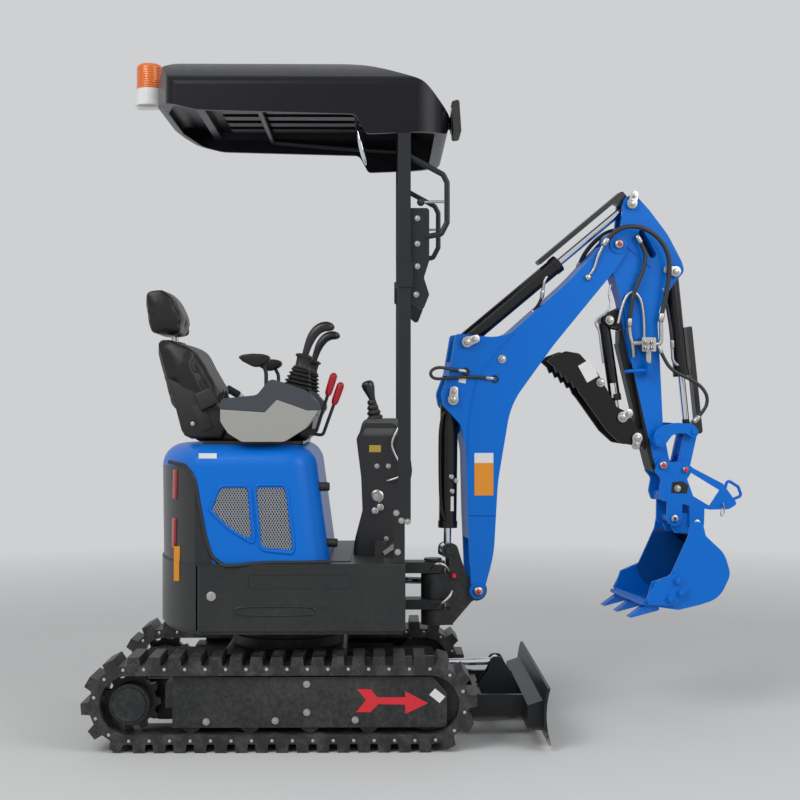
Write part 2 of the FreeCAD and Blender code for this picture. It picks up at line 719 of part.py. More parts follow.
def side_levers():
    """Two levers with grips beside the right console."""
    shapes = [block((60, -CONSOLE_HALF[0], 1098), (112, -CONSOLE_HALF[0] + 34, 1122))]
    for y, foot, bend, top in ((-252, 80, (116, 1110), (181, 1318)), (-236, 84, (140, 1098), (206, 1284))):
        shapes.append(bent_tube(((foot, y, 1106), (bend[0], y, bend[1]), (top[0], y, top[1])), 6, 14))
        knob = ahead_of(top, bend, 52)
        shapes.append(bar((top[0], y, top[1]), (knob[0], y, knob[1]), 11))
    return less(joined(shapes), [slab(CONSOLE, -CONSOLE_HALF[1], -CONSOLE_HALF[0])])


TOWER_HALF = 110
TOWER_TOP = 492
TOWER_RISE = ((440, 151, 40), (470, 311, 60), (455, 434, 30), (400, TOWER_TOP, 30), (290, TOWER_TOP, 20), (260, 434, 30),
              (278, 288, 60), (283, 162, 60), (253, 47, 20))


def control_tower():
    """Upright housing in front of the seat for the travel levers."""
    waist = [(x, DECK + rise, radius) for x, rise, radius in TOWER_RISE]
    body = slab([(249, DECK), (440, DECK)] + waist, -TOWER_HALF, TOWER_HALF)
    shoulders = plate(((240, -TOWER_HALF, 35), (480, -TOWER_HALF, 35), (480, TOWER_HALF, 35), (240, TOWER_HALF, 35)),
                      DECK, DECK + 600)
    return body.common(shoulders)


def travel_levers():
    """Pair of travel levers with their bellows on the tower."""
    top = DECK + TOWER_TOP
    levers = []
    for y in (-46, 46):
        lever = joined([Part.makeCone(31, 16, 70, Vector(331, y, top - 8), Vector(-0.15, 0, 1)),
                        bent_tube(((322, y, top + 54), (312, y, top + 109), (286, y, top + 159)), 9, 30),
                        Part.makeCone(12, 22, 34, Vector(300, y, top + 133), Vector(-0.5, 0, 1))])
        levers.append(lever.cut(control_tower()))
    return Part.Compound(levers)


def pedals():
    """Tread pedals at the foot of the tower."""
    shapes = []
    for side in (-1, 1):
        low, high = sorted((side * 118, side * 210))
        shapes.append(slab(((330, DECK), (430, DECK), (430, DECK + 14), (345, DECK + 62), (330, DECK + 56)), low, high))
    return Part.Compound(shapes)


keep("seat_base", seat_base())
keep("seat_cushion", seat_cushion())
keep("seat_back", seat_back())
for side_name, side in (("right", -1), ("left", 1)):
    keep("console_" + side_name, console(side))
    keep("joystick_" + side_name, joystick(side))
    keep("armrest_" + side_name, armrest(side))
keep("side_levers", side_levers())
keep("control_tower", control_tower())
keep("travel_levers", travel_levers())
keep("pedals", pedals())


# Canopy

POST_X = (413, 458)
ROOF_CEILING = 2330
RAIL_THICK = 30
ROOF_RIB = (64, 26)
# The roof's cross-section: where the arch starts, and the arch's radius and its tangents' height over the crown
ROOF_SHOULDER = 2362
ROOF_ARCH = 755
ROOF_PEAK = 137


def canopy_frame():
    """Two posts with feet, top rails, front plates and grab handles."""
    half = S.post_section / 2
    shapes = []
    top = ROOF_CEILING - S.seat_gap
    for side in (-1, 1):
        y = side * S.post_spacing / 2
        shapes.append(block((398, y - half, DECK), (437, y + half, 862)))
        shapes.append(block((POST_X[0], y - half, 792), (POST_X[1], y + half, top)))
        shapes.append(block((POST_X[0] - 7, y - half - 4, 1625), (POST_X[1] + 7, y + half + 4, 1712)))
        shapes.append(slab(((POST_X[1], 1575), (500, 1540, 12), (524, 1600, 12), (505, 1660, 20), (524, 1720, 20),
                            (524, 1907, 12), (POST_X[1], 1907)), y - 4, y + 4))
        shapes.append(block((-330, y - 12, top - RAIL_THICK), (POST_X[0] + 5, y + 12, top)))
        shapes.append(bent_tube(((450, y, 2093), (573, y, 2026), (587, y, 1998), (587, y, 1856), (566, y, 1815),
                                 (510, y, 1805)), 10, 14))
    for x in (-330, POST_X[0] + 5):
        shapes.append(block((x, -S.post_spacing / 2, top - RAIL_THICK), (x + 30, S.post_spacing / 2, top)))
    return joined(shapes).cut(canopy_roof())


def canopy_roof():
    """Moulded roof, crowned above and hollow below."""
    half = S.roof_width / 2
    crown = S.roof_crown
    side = slab(((-471, 2300, 20), (-471, 2385, 60), (-400, crown - 16, 120), (51, crown, 900), (290, crown - 40, 500),
                 (510, 2353, 150), (603, 2245, 30), (590, 2178, 20), (300, 2166, 20), (262, 2236, 30),
                 (-300, 2250, 200), (-440, 2285, 20)), -half - 20, half + 20)
    cross = Part.Face(Part.Wire(rounded(((-half, 2100), (-half, ROOF_SHOULDER, 45),
                                         (0, crown + ROOF_PEAK, ROOF_ARCH), (half, ROOF_SHOULDER, 45),
                                         (half, 2100)))))
    cross.rotate(Vector(0, 0, 0), Vector(0, 0, 1), 90)
    cross.translate(Vector(-600, 0, 0))
    cross = cross.extrude(Vector(1300, 0, 0))
    spare = 3
    outline = plate(((-471 - spare, -170, 150), (-400, -half - spare, 60), (603 + spare, -half - spare, 150),
                     (603 + spare, half + spare, 150), (-400, half + spare, 60), (-471 - spare, 170, 150)),
                    2050, 2600)
    dome = side.common(cross).common(outline)
    rim = 14
    hollow = slab(((-430, 2100), (480, 2100), (565, 2200, 20), (545, 2262, 30), (450, ROOF_CEILING, 60),
                   (-430, ROOF_CEILING, 40)), -half + rim, half - rim)
    hollow = hollow.common(plate(((-471 + 30, -150, 110), (-378, -half + rim, 50), (603 - 24, -half + rim, 130),
                                  (603 - 24, half - rim, 130), (-378, half - rim, 50), (-471 + 30, 150, 110)),
                                 2000, 2600))
    ribs = [slab(((-250, ROOF_CEILING + 5), (-250, ROOF_CEILING - ROOF_RIB[1], 12),
                  (330, ROOF_CEILING - ROOF_RIB[1], 12), (330, ROOF_CEILING + 5)),
                 y - ROOF_RIB[0] / 2, y + ROOF_RIB[0] / 2)
            for y in (-240, -120, 0, 120, 240)]
    return joined([dome.cut(hollow)] + ribs)


BEACON = (-532, 0)


def beacon_base():
    """White lamp base on a flat arm from the roof's rear."""
    x, y = BEACON
    arm = block((x - 45, y - 25, 2341), (-472, y + 25, 2349))
    foot = block((-478, y - 40, 2318), (-471 - S.seat_gap, y + 40, 2366))
    base = Part.makeCylinder(54, 12, Vector(x, y, 2349)).fuse(Part.makeCylinder(49, 52, Vector(x, y, 2361)))
    return joined([arm, foot, base])


def beacon_lens():
    """Round orange lens of the beacon."""
    x, y = BEACON
    lens = Part.makeCylinder(49, 96, Vector(x, y, 2413 + S.seat_gap))
    return lens.makeFillet(18, [edge for edge in lens.Edges if edge.BoundBox.ZMin > 2500])


def mirror():
    """Small mirror on a bracket at the roof's front corner."""
    y = -300
    head = slab(((604, 2292, 8), (632, 2300, 8), (640, 2180, 8), (612, 2176, 8)), y - 75, y + 75)
    arm = bar((585, y, 2214), (615, y, 2214), 10)
    return joined([head, arm]).cut(canopy_roof())


keep("canopy_frame", canopy_frame())
keep("canopy_roof", canopy_roof())
keep("beacon_base", beacon_base())
keep("beacon_lens", beacon_lens())
keep("mirror", mirror())


# Swing bracket and boom, drawn in the boom's own plane

BRACKET_EAR = (30, 44)
EYE_HALF = 26
SWING_LUG = 105
FORK = (S.arm_half + S.side_gap, S.boom_half + 1)


def swing_bracket():
    """Casting on the swing pin that carries the boom foot and the lift cylinder."""
    foot, lift = PIN["boom_foot"], PIN["lift_rod"]
    knuckles = []
    for low, high in ((372, LOWER_LUG[0] - 3), (LOWER_LUG[1] + 3, UPPER_LUG[0] - 3)):
        knuckles.append(Part.makeCylinder(KNUCKLE, high - low, Vector(0, 0, low)))
        knuckles.append(block((0, -BRACKET_EAR[1], low), (70, BRACKET_EAR[1], high)))
    pin = Part.makeCylinder(24, 246, Vector(0, 0, 370))
    head = Part.makeCylinder(34, 8, Vector(0, 0, UPPER_LUG[1] + 3))
    web = slab(((57, 380), (66, 374), (foot[0] - 20, foot[1] - 44, 20), (foot[0] + 20, foot[1] - 20, 20),
                (foot[0] - 8, 540, 10), (100, 556, 20), (57, 556)), -BRACKET_EAR[1], BRACKET_EAR[1])
    ears = pair(lambda low, high: slab(((57, 500), (57, 622, 4), (lift[0] - 28, 634, 10), (lift[0] - 27, lift[1] + 26, 26),
                                        (lift[0] + 27, lift[1] + 26, 26), (104, 612, 40), (132, 545, 40), (132, 500)),
                                       low, high), *BRACKET_EAR)
    hub = boss(foot, 40, -BRACKET_EAR[1] - 2, BRACKET_EAR[1] + 2)
    foot_pin = boss(foot, S.pin_radius, -S.boom_half - 14, S.boom_half + 14)
    stubs = both_bosses(lift, S.pin_radius, EYE_HALF + 2, BRACKET_EAR[1] + 10)
    lugs = []
    for low in (SWING_RAM_Z - SWING_EYE - S.side_gap - S.ear_plate, SWING_RAM_Z + SWING_EYE + S.side_gap):
        lugs.append(block((-24, 20, low), (24, SWING_LUG, low + S.ear_plate)))
        lugs.append(Part.makeCylinder(24, S.ear_plate, Vector(0, SWING_LUG, low)))
    return joined(knuckles + [pin, head, web, ears, hub, foot_pin, stubs] + lugs)


BOOM_OUTLINE = ((136, 520), (124, 792, 400), (118, 1040, 200), (97, 1133, 60), (30, 1205, 30), (22, 1250, 40),
                (52, 1330, 60), (78, 1478, 12), (100, 1479, 12), (235, 1466, 200), (292, 1484, 60), (529, 1690, 900),
                (690, 1862, 30), (748, 1862, 32), (752, 1800, 32), (699, 1722, 30), (461, 1439, 900),
                (292, 1211, 300), (241, 915, 600), (225, 637, 500), (190, 512))


def boom():
    """Curved box boom with forked foot, cylinder brackets behind and a forked nose."""
    foot, tip = PIN["boom_foot"], PIN["boom_tip"]
    half = S.boom_half
    body = slab(BOOM_OUTLINE, -half, half)
    body = body.fuse(boss(foot, 31, -half - 6, half + 6))
    body = body.fuse(boss(tip, 34, -half - 6, half + 6))
    inner = BRACKET_EAR[1] + S.side_gap
    cuts = [slab(((60, 430), (260, 430), (260, 700, 20), (60, 700, 20)), -inner, inner)]
    cuts.append(boss(foot, S.pin_radius + S.pin_gap, -half - 10, half + 10))
    reach = 66
    cuts.append(boss(tip, reach, -FORK[0], FORK[0]))
    cuts.append(slab(((tip[0], tip[1] - reach), (tip[0] + 90, tip[1] - reach), (tip[0] + 90, tip[1] + reach),
                      (tip[0], tip[1] + reach)), -FORK[0], FORK[0]))
    cuts.append(slab(((640, 1640), (760, 1640), (760, 1800), (662, 1800)), -FORK[0], FORK[0]))
    slot = S.lift_barrel + S.side_gap
    cuts.append(slab(((-10, 1100), (108, 1100), (116, 1300, 20), (20, 1330), (-10, 1330)), -slot, slot))
    cuts.append(slab(((40, 1372), (150, 1372, 30), (320, 1530), (300, 1600), (40, 1600)), -slot, slot))
    body = less(body, cuts)
    pins = [both_bosses(PIN["lift_base"], S.pin_radius, slot - 1, half + 10),
            both_bosses(PIN["crowd_base"], S.pin_radius, slot - 1, half + 10),
            boss(tip, S.pin_radius, -half - 14, half + 14),
            boss(PIN["lift_base"], S.pin_radius, -slot, slot), boss(PIN["crowd_base"], S.pin_radius, -slot, slot)]
    return joined([body] + pins)


ARM_OUTLINE = ((744, 1990, 15), (760, 2028, 30), (800, 2022, 30), (850, 1971, 200), (927, 1875, 300),
               (984, 1771, 60), (996, 1732, 30), (957, 1690, 36), (882, 1579, 200), (894, 1380, 900),
               (907, 1119, 60), (936, 975, 36), (899, 938, 36), (862, 955, 36), (841, 1034, 60), (777, 1380, 900),
               (744, 1616, 500), (702, 1724, 60), (674, 1800, 45), (674, 1876, 45), (736, 1890, 30))


def arm():
    """Welded dipper arm, open at both cylinder pins, with the thumb's brackets on its back."""
    half = S.arm_half
    body = slab(ARM_OUTLINE, -half, half)
    body = body.fuse(boss(PIN["rocker_foot"], 30, -half - 5, half + 5))
    body = body.fuse(boss(PIN["arm_tip"], 34, -half - 5, half + 5))
    body = body.fuse(slab(((716, 1500, 6), (750, 1500), (860, 1034), (838, 1034, 6), (818, 1090, 10)), -24, 24))
    body = body.fuse(boss(PIN["thumb_foot"], 28, -40, 40)).fuse(
        slab(((795, 1052), (860, 1040), (840, 1120), (795, 1108)), -40, 40))
    base = PIN["thumb_base"]
    bracket = slab(((base[0] - 22, base[1] + 4, 20), (base[0] + 6, base[1] + 26, 20), (762, 1600), (752, 1500),
                    (base[0] + 10, base[1] - 24, 20)), 24, 36)
    body = body.fuse(bracket).fuse(bracket.mirror(Vector(0, 0, 0), Vector(0, 1, 0)))
    slot = EYE_HALF + S.side_gap
    rod, curl = PIN["crowd_rod"], PIN["curl_base"]
    cuts = [slab(((690, rod[1] - 92), (rod[0] + 34, rod[1] - 92, 20), (rod[0] + 52, rod[1] + 70), (690, rod[1] + 70)),
                 -slot, slot)]
    cuts.append(slab(((curl[0] - 44, curl[1] + 20, 30), (curl[0] + 60, curl[1] + 36), (curl[0] + 60, curl[1] - 80),
                      (curl[0] - 60, curl[1] - 80)), -slot, slot))
    cuts.append(slab(((800, 1892, 16), (826, 1892, 16), (884, 1792, 18), (858, 1776, 18)), -half - 1, half + 1))
    for name in ("boom_tip", "rocker_foot", "arm_tip", "thumb_foot"):
        cuts.append(boss(PIN[name], (S.pin_radius if name != "thumb_foot" else S.small_pin) + S.pin_gap, -90, 90))
    cuts.append(slab(((base[0] - 60, base[1] - 90), (735, base[1] - 90), (735, base[1] + 60), (base[0] - 60, base[1] + 60)),
                     -24, 24))
    body = less(body, cuts)
    pins = [both_bosses(rod, S.pin_radius, slot - 2, half + 10),
            boss(curl, S.pin_radius, -half - 10, half + 10),
            boss(base, S.small_pin, -44, 44)]
    return joined([body] + pins)


LINK_EAR = (30, 48)
HOOK_EAR = (53, 65)
ROCKER_EAR = (68, 78)


def rocker():
    """Pair of arched rocker plates between arm and curl cylinder."""
    foot, tip = PIN["rocker_foot"], PIN["rocker_tip"]
    arch = ((foot[0] - 26, foot[1] - 20, 24), (foot[0] + 20, foot[1] - 26, 24), (foot[0] + 60, foot[1] + 26, 40),
            (tip[0] - 40, tip[1] - 4, 30), (tip[0], tip[1] - 26, 24), (tip[0] + 26, tip[1] - 4, 24),
            (tip[0] - 4, tip[1] + 30, 30), (950, 1140, 60), (foot[0] - 10, foot[1] + 50, 40))
    plates = pair(lambda low, high: slab(arch, low, high), *ROCKER_EAR)
    pins = [boss(foot, S.pin_radius, -ROCKER_EAR[1] - 5, ROCKER_EAR[1] + 5),
            both_bosses(tip, S.small_pin, EYE_HALF + 2, ROCKER_EAR[1] + 5),
            both_bosses(foot, 24, S.arm_half + 5 + 1, ROCKER_EAR[0])]
    return joined([plates] + pins)


def h_link():
    """H-shaped link from the rocker's tip down to the hitch."""
    tip, foot = PIN["rocker_tip"], PIN["link_foot"]
    arms = pair(lambda low, high: slab(((tip[0] - 22, tip[1] + 10, 20), (tip[0] + 10, tip[1] + 24, 20),
                                        (tip[0] + 24, tip[1] - 10, 20), (foot[0] + 22, foot[1] - 10, 20),
                                        (foot[0] - 6, foot[1] - 24, 20), (foot[0] - 24, foot[1] + 8, 20)), low, high),
                *LINK_EAR)
    arms = less(arms, [boss(tip, S.small_pin + S.pin_gap, -60, 60)])
    waist = ahead_of(foot, tip, 46)
    tie = boss(waist, 12, -LINK_EAR[0], LINK_EAR[0])
    cross = boss(foot, S.small_pin + 4, -LINK_EAR[0], LINK_EAR[0])
    return joined([arms, tie, cross])


def hitch():
    """Quick coupler: side plates, bottom hooks and the latch handle."""
    tip, foot = PIN["arm_tip"], PIN["link_foot"]
    hook, latch = PIN["hook_pin"], PIN["latch_pin"]
    side = ((872, 975, 30), (899, 1008, 30), (930, 985, 30), (foot[0], 990, 30), (foot[0] + 34, 962, 30),
            (1146, 900, 20), (1206, 820, 12), (1170, 800, 10), (1091, 799, 30), (1020, 812, 30), (948, 831),
            (895, 835, 10), (884, 868, 20), (893, 921, 20), (868, 950, 20))
    plates = pair(lambda low, high: slab(side, low, high), *HOOK_EAR)
    for pin in (hook, latch):
        plates = plates.fuse(pair(lambda low, high: slab(((pin[0] - 28, 850), (pin[0] - 30, pin[1] - 14, 26),
                                                          (pin[0], pin[1] - 36, 22), (pin[0] + 30, pin[1] - 14, 26),
                                                          (pin[0] + 34, 850)), low, high), *HOOK_EAR))
    plates = less(plates, [boss(pin, S.pin_radius + S.seat_gap, -80, 80) for pin in (hook, latch)])
    deck = slab(((899, 838), (948, 834), (1091, 802), (1170, 803), (1200, 818), (1140, 896), (1105, 912),
                 (1060, 850, 40), (940, 868, 20), (899, 872)), -HOOK_EAR[0], HOOK_EAR[0])
    pins = [boss(tip, S.pin_radius, -HOOK_EAR[1] - 5, HOOK_EAR[1] + 5),
            both_bosses(foot, S.small_pin, HOOK_EAR[0], HOOK_EAR[1] + 5)]
    grip = bent_tube(((1180, 0, 870), (1190, 0, 912), (1236, 0, 884), (1250, 0, 848), (1190, 0, 825)), 6, 12)
    return joined([plates, deck, grip] + pins)


CUTTER_THICK = 10


def bucket():
    """Digging bucket: curved shell, side plates with cutters, lip with three teeth, ears."""
    half = S.bucket_width / 2
    skin = S.bucket_skin
    side = slab(((785, 461, 6), (810, 538, 8), (883, 560, 40), (954, 709, 6), (964, 762, 10), (1012, 762, 20), (1024, 709, 20),
                 (1100, 640, 100), (1125, 560, 60), (1080, 470, 100), (1000, 446, 200), (914, 429)), 0, skin)
    outer = slab(((785, 461), (812, 540), (883, 562, 40), (954, 709), (1024, 709, 20), (1100, 640, 100),
                  (1125, 560, 60), (1080, 470, 100), (1000, 446, 200), (914, 429)), -half + skin, half - skin)
    inner = slab(((770, 480), (790, 600), (954, 780), (1016, 700, 16), (1092, 634, 92), (1116, 560, 54),
                  (1075, 477, 94), (1000, 454, 192), (914, 438), (786, 470)), -half + skin, half - skin)
    shell = outer.cut(inner)
    right, left = side.copy(), side.copy()
    right.translate(Vector(0, -half, 0))
    left.translate(Vector(0, half - skin, 0))
    lip = slab(((768, 452), (914, 429), (918, 441), (772, 466)), -half, half)
    teeth = [slab(((724, 405), (728, 402), (840, 428), (842, 456), (806, 462)), y - 20, y + 20)
             for y in (-half + 30, 0, half - 30)]
    hook, latch = PIN["hook_pin"], PIN["latch_pin"]
    ears = pair(lambda low, high: slab(((hook[0] - 26, hook[1] + 14, 20), (hook[0], hook[1] + 30, 20),
                                        (latch[0] + 4, latch[1] + 30, 20), (latch[0] + 28, latch[1], 20),
                                        (1058, 690), (1020, 706), (952, 709)), low, high), 40, 52)
    pins = [boss(hook, S.pin_radius, -66, 66), boss(latch, S.pin_radius, -66, 66)]
    cutters = pair(lambda low, high: slab(((784, 472), (819, 539, 15), (900, 571, 20), (958, 513, 20), (902, 446, 12),
                                           (792, 452)), low, high), half, half + CUTTER_THICK)
    return joined([shell, right, left, lip, ears, cutters] + teeth + pins)


THUMB_EAR = (44, 56)


def thumb():
    """Toothed thumb that folds up along the arm."""
    foot, rod = PIN["thumb_foot"], PIN["thumb_rod"]
    claw = ((438, 1378), (462, 1398, 8), (512, 1416, 10), (564, 1408, 20), (640, 1330, 40), (716, 1200, 30),
            (rod[0] + 20, rod[1] + 20, 18), (foot[0] + 26, foot[1] + 6, 24), (foot[0] - 4, foot[1] - 28, 24),
            (728, 1062, 30), (676, 1108, 30), (582, 1236, 20), (566, 1254), (556, 1278), (544, 1274), (532, 1300),
            (520, 1294), (508, 1320), (496, 1314), (486, 1338), (474, 1332), (464, 1356))
    plates = pair(lambda low, high: slab(claw, low, high), *THUMB_EAR)
    web = slab(((500, 1400, 10), (560, 1396, 10), (640, 1310, 20), (672, 1240), (648, 1220), (600, 1262, 10),
                (520, 1360)), -THUMB_EAR[0], THUMB_EAR[0])
    pins = [boss(foot, S.small_pin, -THUMB_EAR[1] - 6, THUMB_EAR[1] + 6),
            both_bosses(rod, S.small_pin, 24, THUMB_EAR[1] + 4)]
    return joined([plates, web] + pins)


def valve_block():
    """Thumb and curl line manifold on the arm's right face."""
    low = -S.arm_half - 46
    body = block((806, low, 1416), (862, -S.arm_half, 1470))
    cap = bar((836, low + 20, 1378), (836, low + 20, 1416), 11)
    return joined([body, cap])


keep("swing_bracket", swing_bracket(), BOOM_PLANE)
keep("boom", boom(), BOOM_PLANE)
keep("arm", arm(), BOOM_PLANE)
keep("rocker", rocker(), BOOM_PLANE)
keep("h_link", h_link(), BOOM_PLANE)
keep("hitch", hitch(), BOOM_PLANE)
keep("bucket", bucket(), BOOM_PLANE)
keep("thumb", thumb(), BOOM_PLANE)
keep("valve_block", valve_block(), BOOM_PLANE)

# Cylinder: base pin, rod pin, barrel radius, rod radius, barrel length, half width and radius of its eyes,
# and how far the rod runs in from rest
CYLINDERS = (
    ("lift_cylinder", "lift_base", "lift_rod", S.lift_barrel, 15, 490, EYE_HALF, 26, 16),
    ("crowd_cylinder", "crowd_base", "crowd_rod", 32, 15, 490, EYE_HALF, 26, 272),
    ("curl_cylinder", "curl_base", "rocker_tip", 29, 14, 410, EYE_HALF, 24, 78),
    ("thumb_cylinder", "thumb_base", "thumb_rod", 22, 11, 315, 21, 19, 4),
)
# Guard bar of a rod: length, inner and outer distance from the axis, half width
GUARDS = {"crowd_cylinder": (430, 42, 60, 20), "curl_cylinder": (410, 38, 58, 20)}
for name, base, eye, barrel_radius, rod_radius, barrel_length, eye_half, eye_radius, retract in CYLINDERS:
    barrel, rod = ram(PIN[base], PIN[eye], barrel_radius, rod_radius, barrel_length, eye_half, eye_radius, retract)
    bore = (S.small_pin if name == "thumb_cylinder" else S.pin_radius) + S.pin_gap
    barrel = barrel.cut(boss(PIN[base], bore, -60, 60))
    if name in GUARDS:
        rod = joined([rod, rod_guard(PIN[eye], PIN[base], *GUARDS[name])])
    keep(name + "_barrel", barrel, BOOM_PLANE)
    keep(name + "_rod", rod, BOOM_PLANE)


# Swing cylinder under the deck

def swing_ram():
    """Cylinder from the house frame to the swing bracket's side lug."""
    turn = math.radians(S.swing_rest + 90)
    eye = (S.swing_pin_x + SWING_LUG * math.cos(turn), SWING_LUG * math.sin(turn))
    length = math.hypot(eye[0] - SWING_RAM_BASE[0], eye[1] - SWING_RAM_BASE[1])
    barrel, rod = ram((0, 0), (length, 0), SWING_BARREL, SWING_ROD, 245, SWING_EYE, 21, 64)
    heading = math.degrees(math.atan2(eye[1] - SWING_RAM_BASE[1], eye[0] - SWING_RAM_BASE[0]))
    placed = []
    for shape in (barrel, rod):
        shape.rotate(Vector(0, 0, 0), Vector(1, 0, 0), 90)
        shape.rotate(Vector(0, 0, 0), Vector(0, 0, 1), heading)
        shape.translate(Vector(SWING_RAM_BASE[0], SWING_RAM_BASE[1], SWING_RAM_Z))
        placed.append(shape)
    placed[0] = placed[0].cut(Part.makeCylinder(S.small_pin + S.pin_gap, 80,
                                                Vector(SWING_RAM_BASE[0], SWING_RAM_BASE[1], SWING_RAM_Z - 40)))
    return placed


swing_barrel, swing_rod = swing_ram()
keep("swing_cylinder_barrel", swing_barrel)
keep("swing_cylinder_rod", swing_rod)


# Origin, checks and files

doc.recompute()
reach = [node.Shape.BoundBox for node in nodes]
ORIGIN_X = (min(box.XMin for box in reach) + max(box.XMax for box in reach)) / 2
for node in nodes:
    node.Placement = Placement(Vector(-ORIGIN_X, 0, 0), Rotation()).multiply(node.Placement)
doc.recompute()
for part in doc.Objects:
    if "Invalid" in part.State or "Error" in part.State:
        raise RuntimeError("%s did not compute" % part.Label)
bad = [node.Label for node in nodes if node.Shape.isNull() or not node.Shape.isValid()]
if bad:
    raise RuntimeError("no valid shape: " + ", ".join(bad))
os.makedirs("parts", exist_ok=True)
for node in nodes:
    node.Shape.exportStep("parts/%s.step" % node.Label)
    print("%-24s %2d solid %9.1f cm3" % (node.Label, len(node.Shape.Solids), node.Shape.Volume / 1000))
print("origin moved by", round(-ORIGIN_X, 3), "nodes", len(nodes))
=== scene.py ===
# Mini excavator dressed on its construction model. Metres, +X forward, +Y to its left, +Z up.
import json
import math
import bmesh
import bpy
from mathutils import Matrix, Vector


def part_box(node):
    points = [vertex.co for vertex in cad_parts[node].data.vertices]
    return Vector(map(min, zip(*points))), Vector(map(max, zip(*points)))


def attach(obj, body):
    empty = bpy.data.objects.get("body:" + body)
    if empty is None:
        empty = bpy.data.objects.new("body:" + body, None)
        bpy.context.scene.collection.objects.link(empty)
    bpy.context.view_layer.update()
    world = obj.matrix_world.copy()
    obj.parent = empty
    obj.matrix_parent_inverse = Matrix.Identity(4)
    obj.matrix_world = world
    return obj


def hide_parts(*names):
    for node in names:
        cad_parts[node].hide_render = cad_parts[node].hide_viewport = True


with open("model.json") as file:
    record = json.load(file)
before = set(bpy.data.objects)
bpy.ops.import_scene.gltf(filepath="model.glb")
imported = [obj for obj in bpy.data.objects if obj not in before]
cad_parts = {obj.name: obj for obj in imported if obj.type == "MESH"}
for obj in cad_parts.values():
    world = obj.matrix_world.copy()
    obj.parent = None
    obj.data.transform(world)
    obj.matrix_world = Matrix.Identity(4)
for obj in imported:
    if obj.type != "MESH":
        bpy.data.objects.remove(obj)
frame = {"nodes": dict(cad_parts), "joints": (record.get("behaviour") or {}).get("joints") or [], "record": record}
NODES = frame["nodes"]
JOINTS = {joint["name"]: joint for joint in frame["joints"]}
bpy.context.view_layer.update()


# Camera
# Level with the seat, on the machine's right side, turned a little towards the bucket.

bpy.ops.object.camera_add(location=(-0.189, -5.39, 1.209))
camera = bpy.context.object
camera.data.lens = 63.36
camera.data.sensor_width = 36
camera.rotation_euler = (math.radians(90.2), 0, math.radians(-0.69))
bpy.context.scene.camera = camera
bpy.context.scene.view_settings.view_transform = "Standard"


# Track rubber
# Belts of black rubber moulded round steel cores, with a grey bloom of dried mud on the lugs.

class Value:
    """One socket of a finish, so that the maths of a surface reads as an expression."""

    def __init__(self, finish, socket):
        self.finish = finish
        self.socket = socket

    def maths(self, operation, *others, clamp=False):
        values = dict(enumerate((self, *others)))
        return self.finish.node("ShaderNodeMath", {"operation": operation, "use_clamp": clamp}, values)

    def __add__(self, other):
        return self.maths("ADD", other)

    __radd__ = __add__

    def __mul__(self, other):
        return self.maths("MULTIPLY", other)

    __rmul__ = __mul__

    def __sub__(self, other):
        return self.maths("SUBTRACT", other)

    def __rsub__(self, other):
        return self * -1 + other

    def lower(self, other):
        return self.maths("MINIMUM", other)

    def upper(self, other):
        return self.maths("MAXIMUM", other)

    def over(self, low, high):
        """Goes from 0 at low to 1 at high."""
        return self.finish.node("ShaderNodeMapRange", {"clamp": True},
                                {"Value": self, "From Min": low, "From Max": high})


class Finish:
    """One material, built node by node round its surface shader."""

    def __init__(self, name):
        self.material = bpy.data.materials.new(name)
        self.material.use_nodes = True
        self.tree = self.material.node_tree
        self.shader = self.tree.nodes["Principled BSDF"]
        self.place = self.node("ShaderNodeTexCoord", output="Object")

    def node(self, kind, settings=None, inputs=None, output=0):
        """Adds a node of a type, its settings first, then the values or links of its sockets."""
        added_node = self.tree.nodes.new(kind)
        for name, value in (settings or {}).items():
            setattr(added_node, name, value)
        for name, value in (inputs or {}).items():
            self.feed(added_node.inputs[name], value)
        return Value(self, added_node.outputs[output])

    def feed(self, socket, value):
        if isinstance(value, Value):
            self.tree.links.new(value.socket, socket)
        elif isinstance(value, tuple) and socket.type == "RGBA":
            socket.default_value = (*value, 1)
        else:
            socket.default_value = value

    def surface(self, **sockets):
        """Feeds the surface shader; an underscore stands for the space in a socket's name."""
        for name, value in sockets.items():
            self.feed(self.shader.inputs[name.replace("_", " ")], value)
        return self

    def clouds(self, size, detail=3.0, roughness=0.5, where=None):
        """Soft spots about one size across, from 0 to 1."""
        return self.node("ShaderNodeTexNoise", {}, {"Vector": where or self.place, "Scale": 1 / size,
                                                    "Detail": detail, "Roughness": roughness})

    def cells(self, size):
        return self.node("ShaderNodeTexVoronoi", {}, {"Vector": self.place, "Scale": 1 / size})

    def blend(self, share, first, second):
        """Colour between two colours."""
        return self.node("ShaderNodeMix", {"data_type": "RGBA"}, {0: share, 6: first, 7: second}, output=2)

    def relief(self, height, depth, strength=0.5):
        """Normal of a surface raised by a height from 0 to 1 times a depth in metres."""
        return self.node("ShaderNodeBump", {}, {"Height": height, "Distance": depth, "Strength": strength})

    def along(self, axis):
        """One coordinate of the place, in metres."""
        return self.node("ShaderNodeSeparateXYZ", {}, {0: self.place}, output=axis)


def dress(finish, *names):
    """Gives construction nodes their finish."""
    for name in names:
        node = NODES[name]
        if not node.data.materials:
            node.data.materials.append(finish.material)
        for socket in node.material_slots:
            socket.material = finish.material


def both(name):
    return name + "_right", name + "_left"


def track_rubber():
    f = Finish("track rubber")
    spots = f.clouds(0.05, 6.0, 0.65)
    bloom = (spots * 0.7 + f.clouds(0.004) * 0.3).over(0.47, 0.75)
    f.surface(Base_Color=f.blend(bloom, (0.012, 0.012, 0.013), (0.1, 0.094, 0.085)),
              Roughness=bloom * 0.3 + 0.45, Normal=f.relief(f.clouds(0.0015) + spots * 2, 0.0006, 0.6))
    return f


rubber = track_rubber()
dress(rubber, *both("track"))


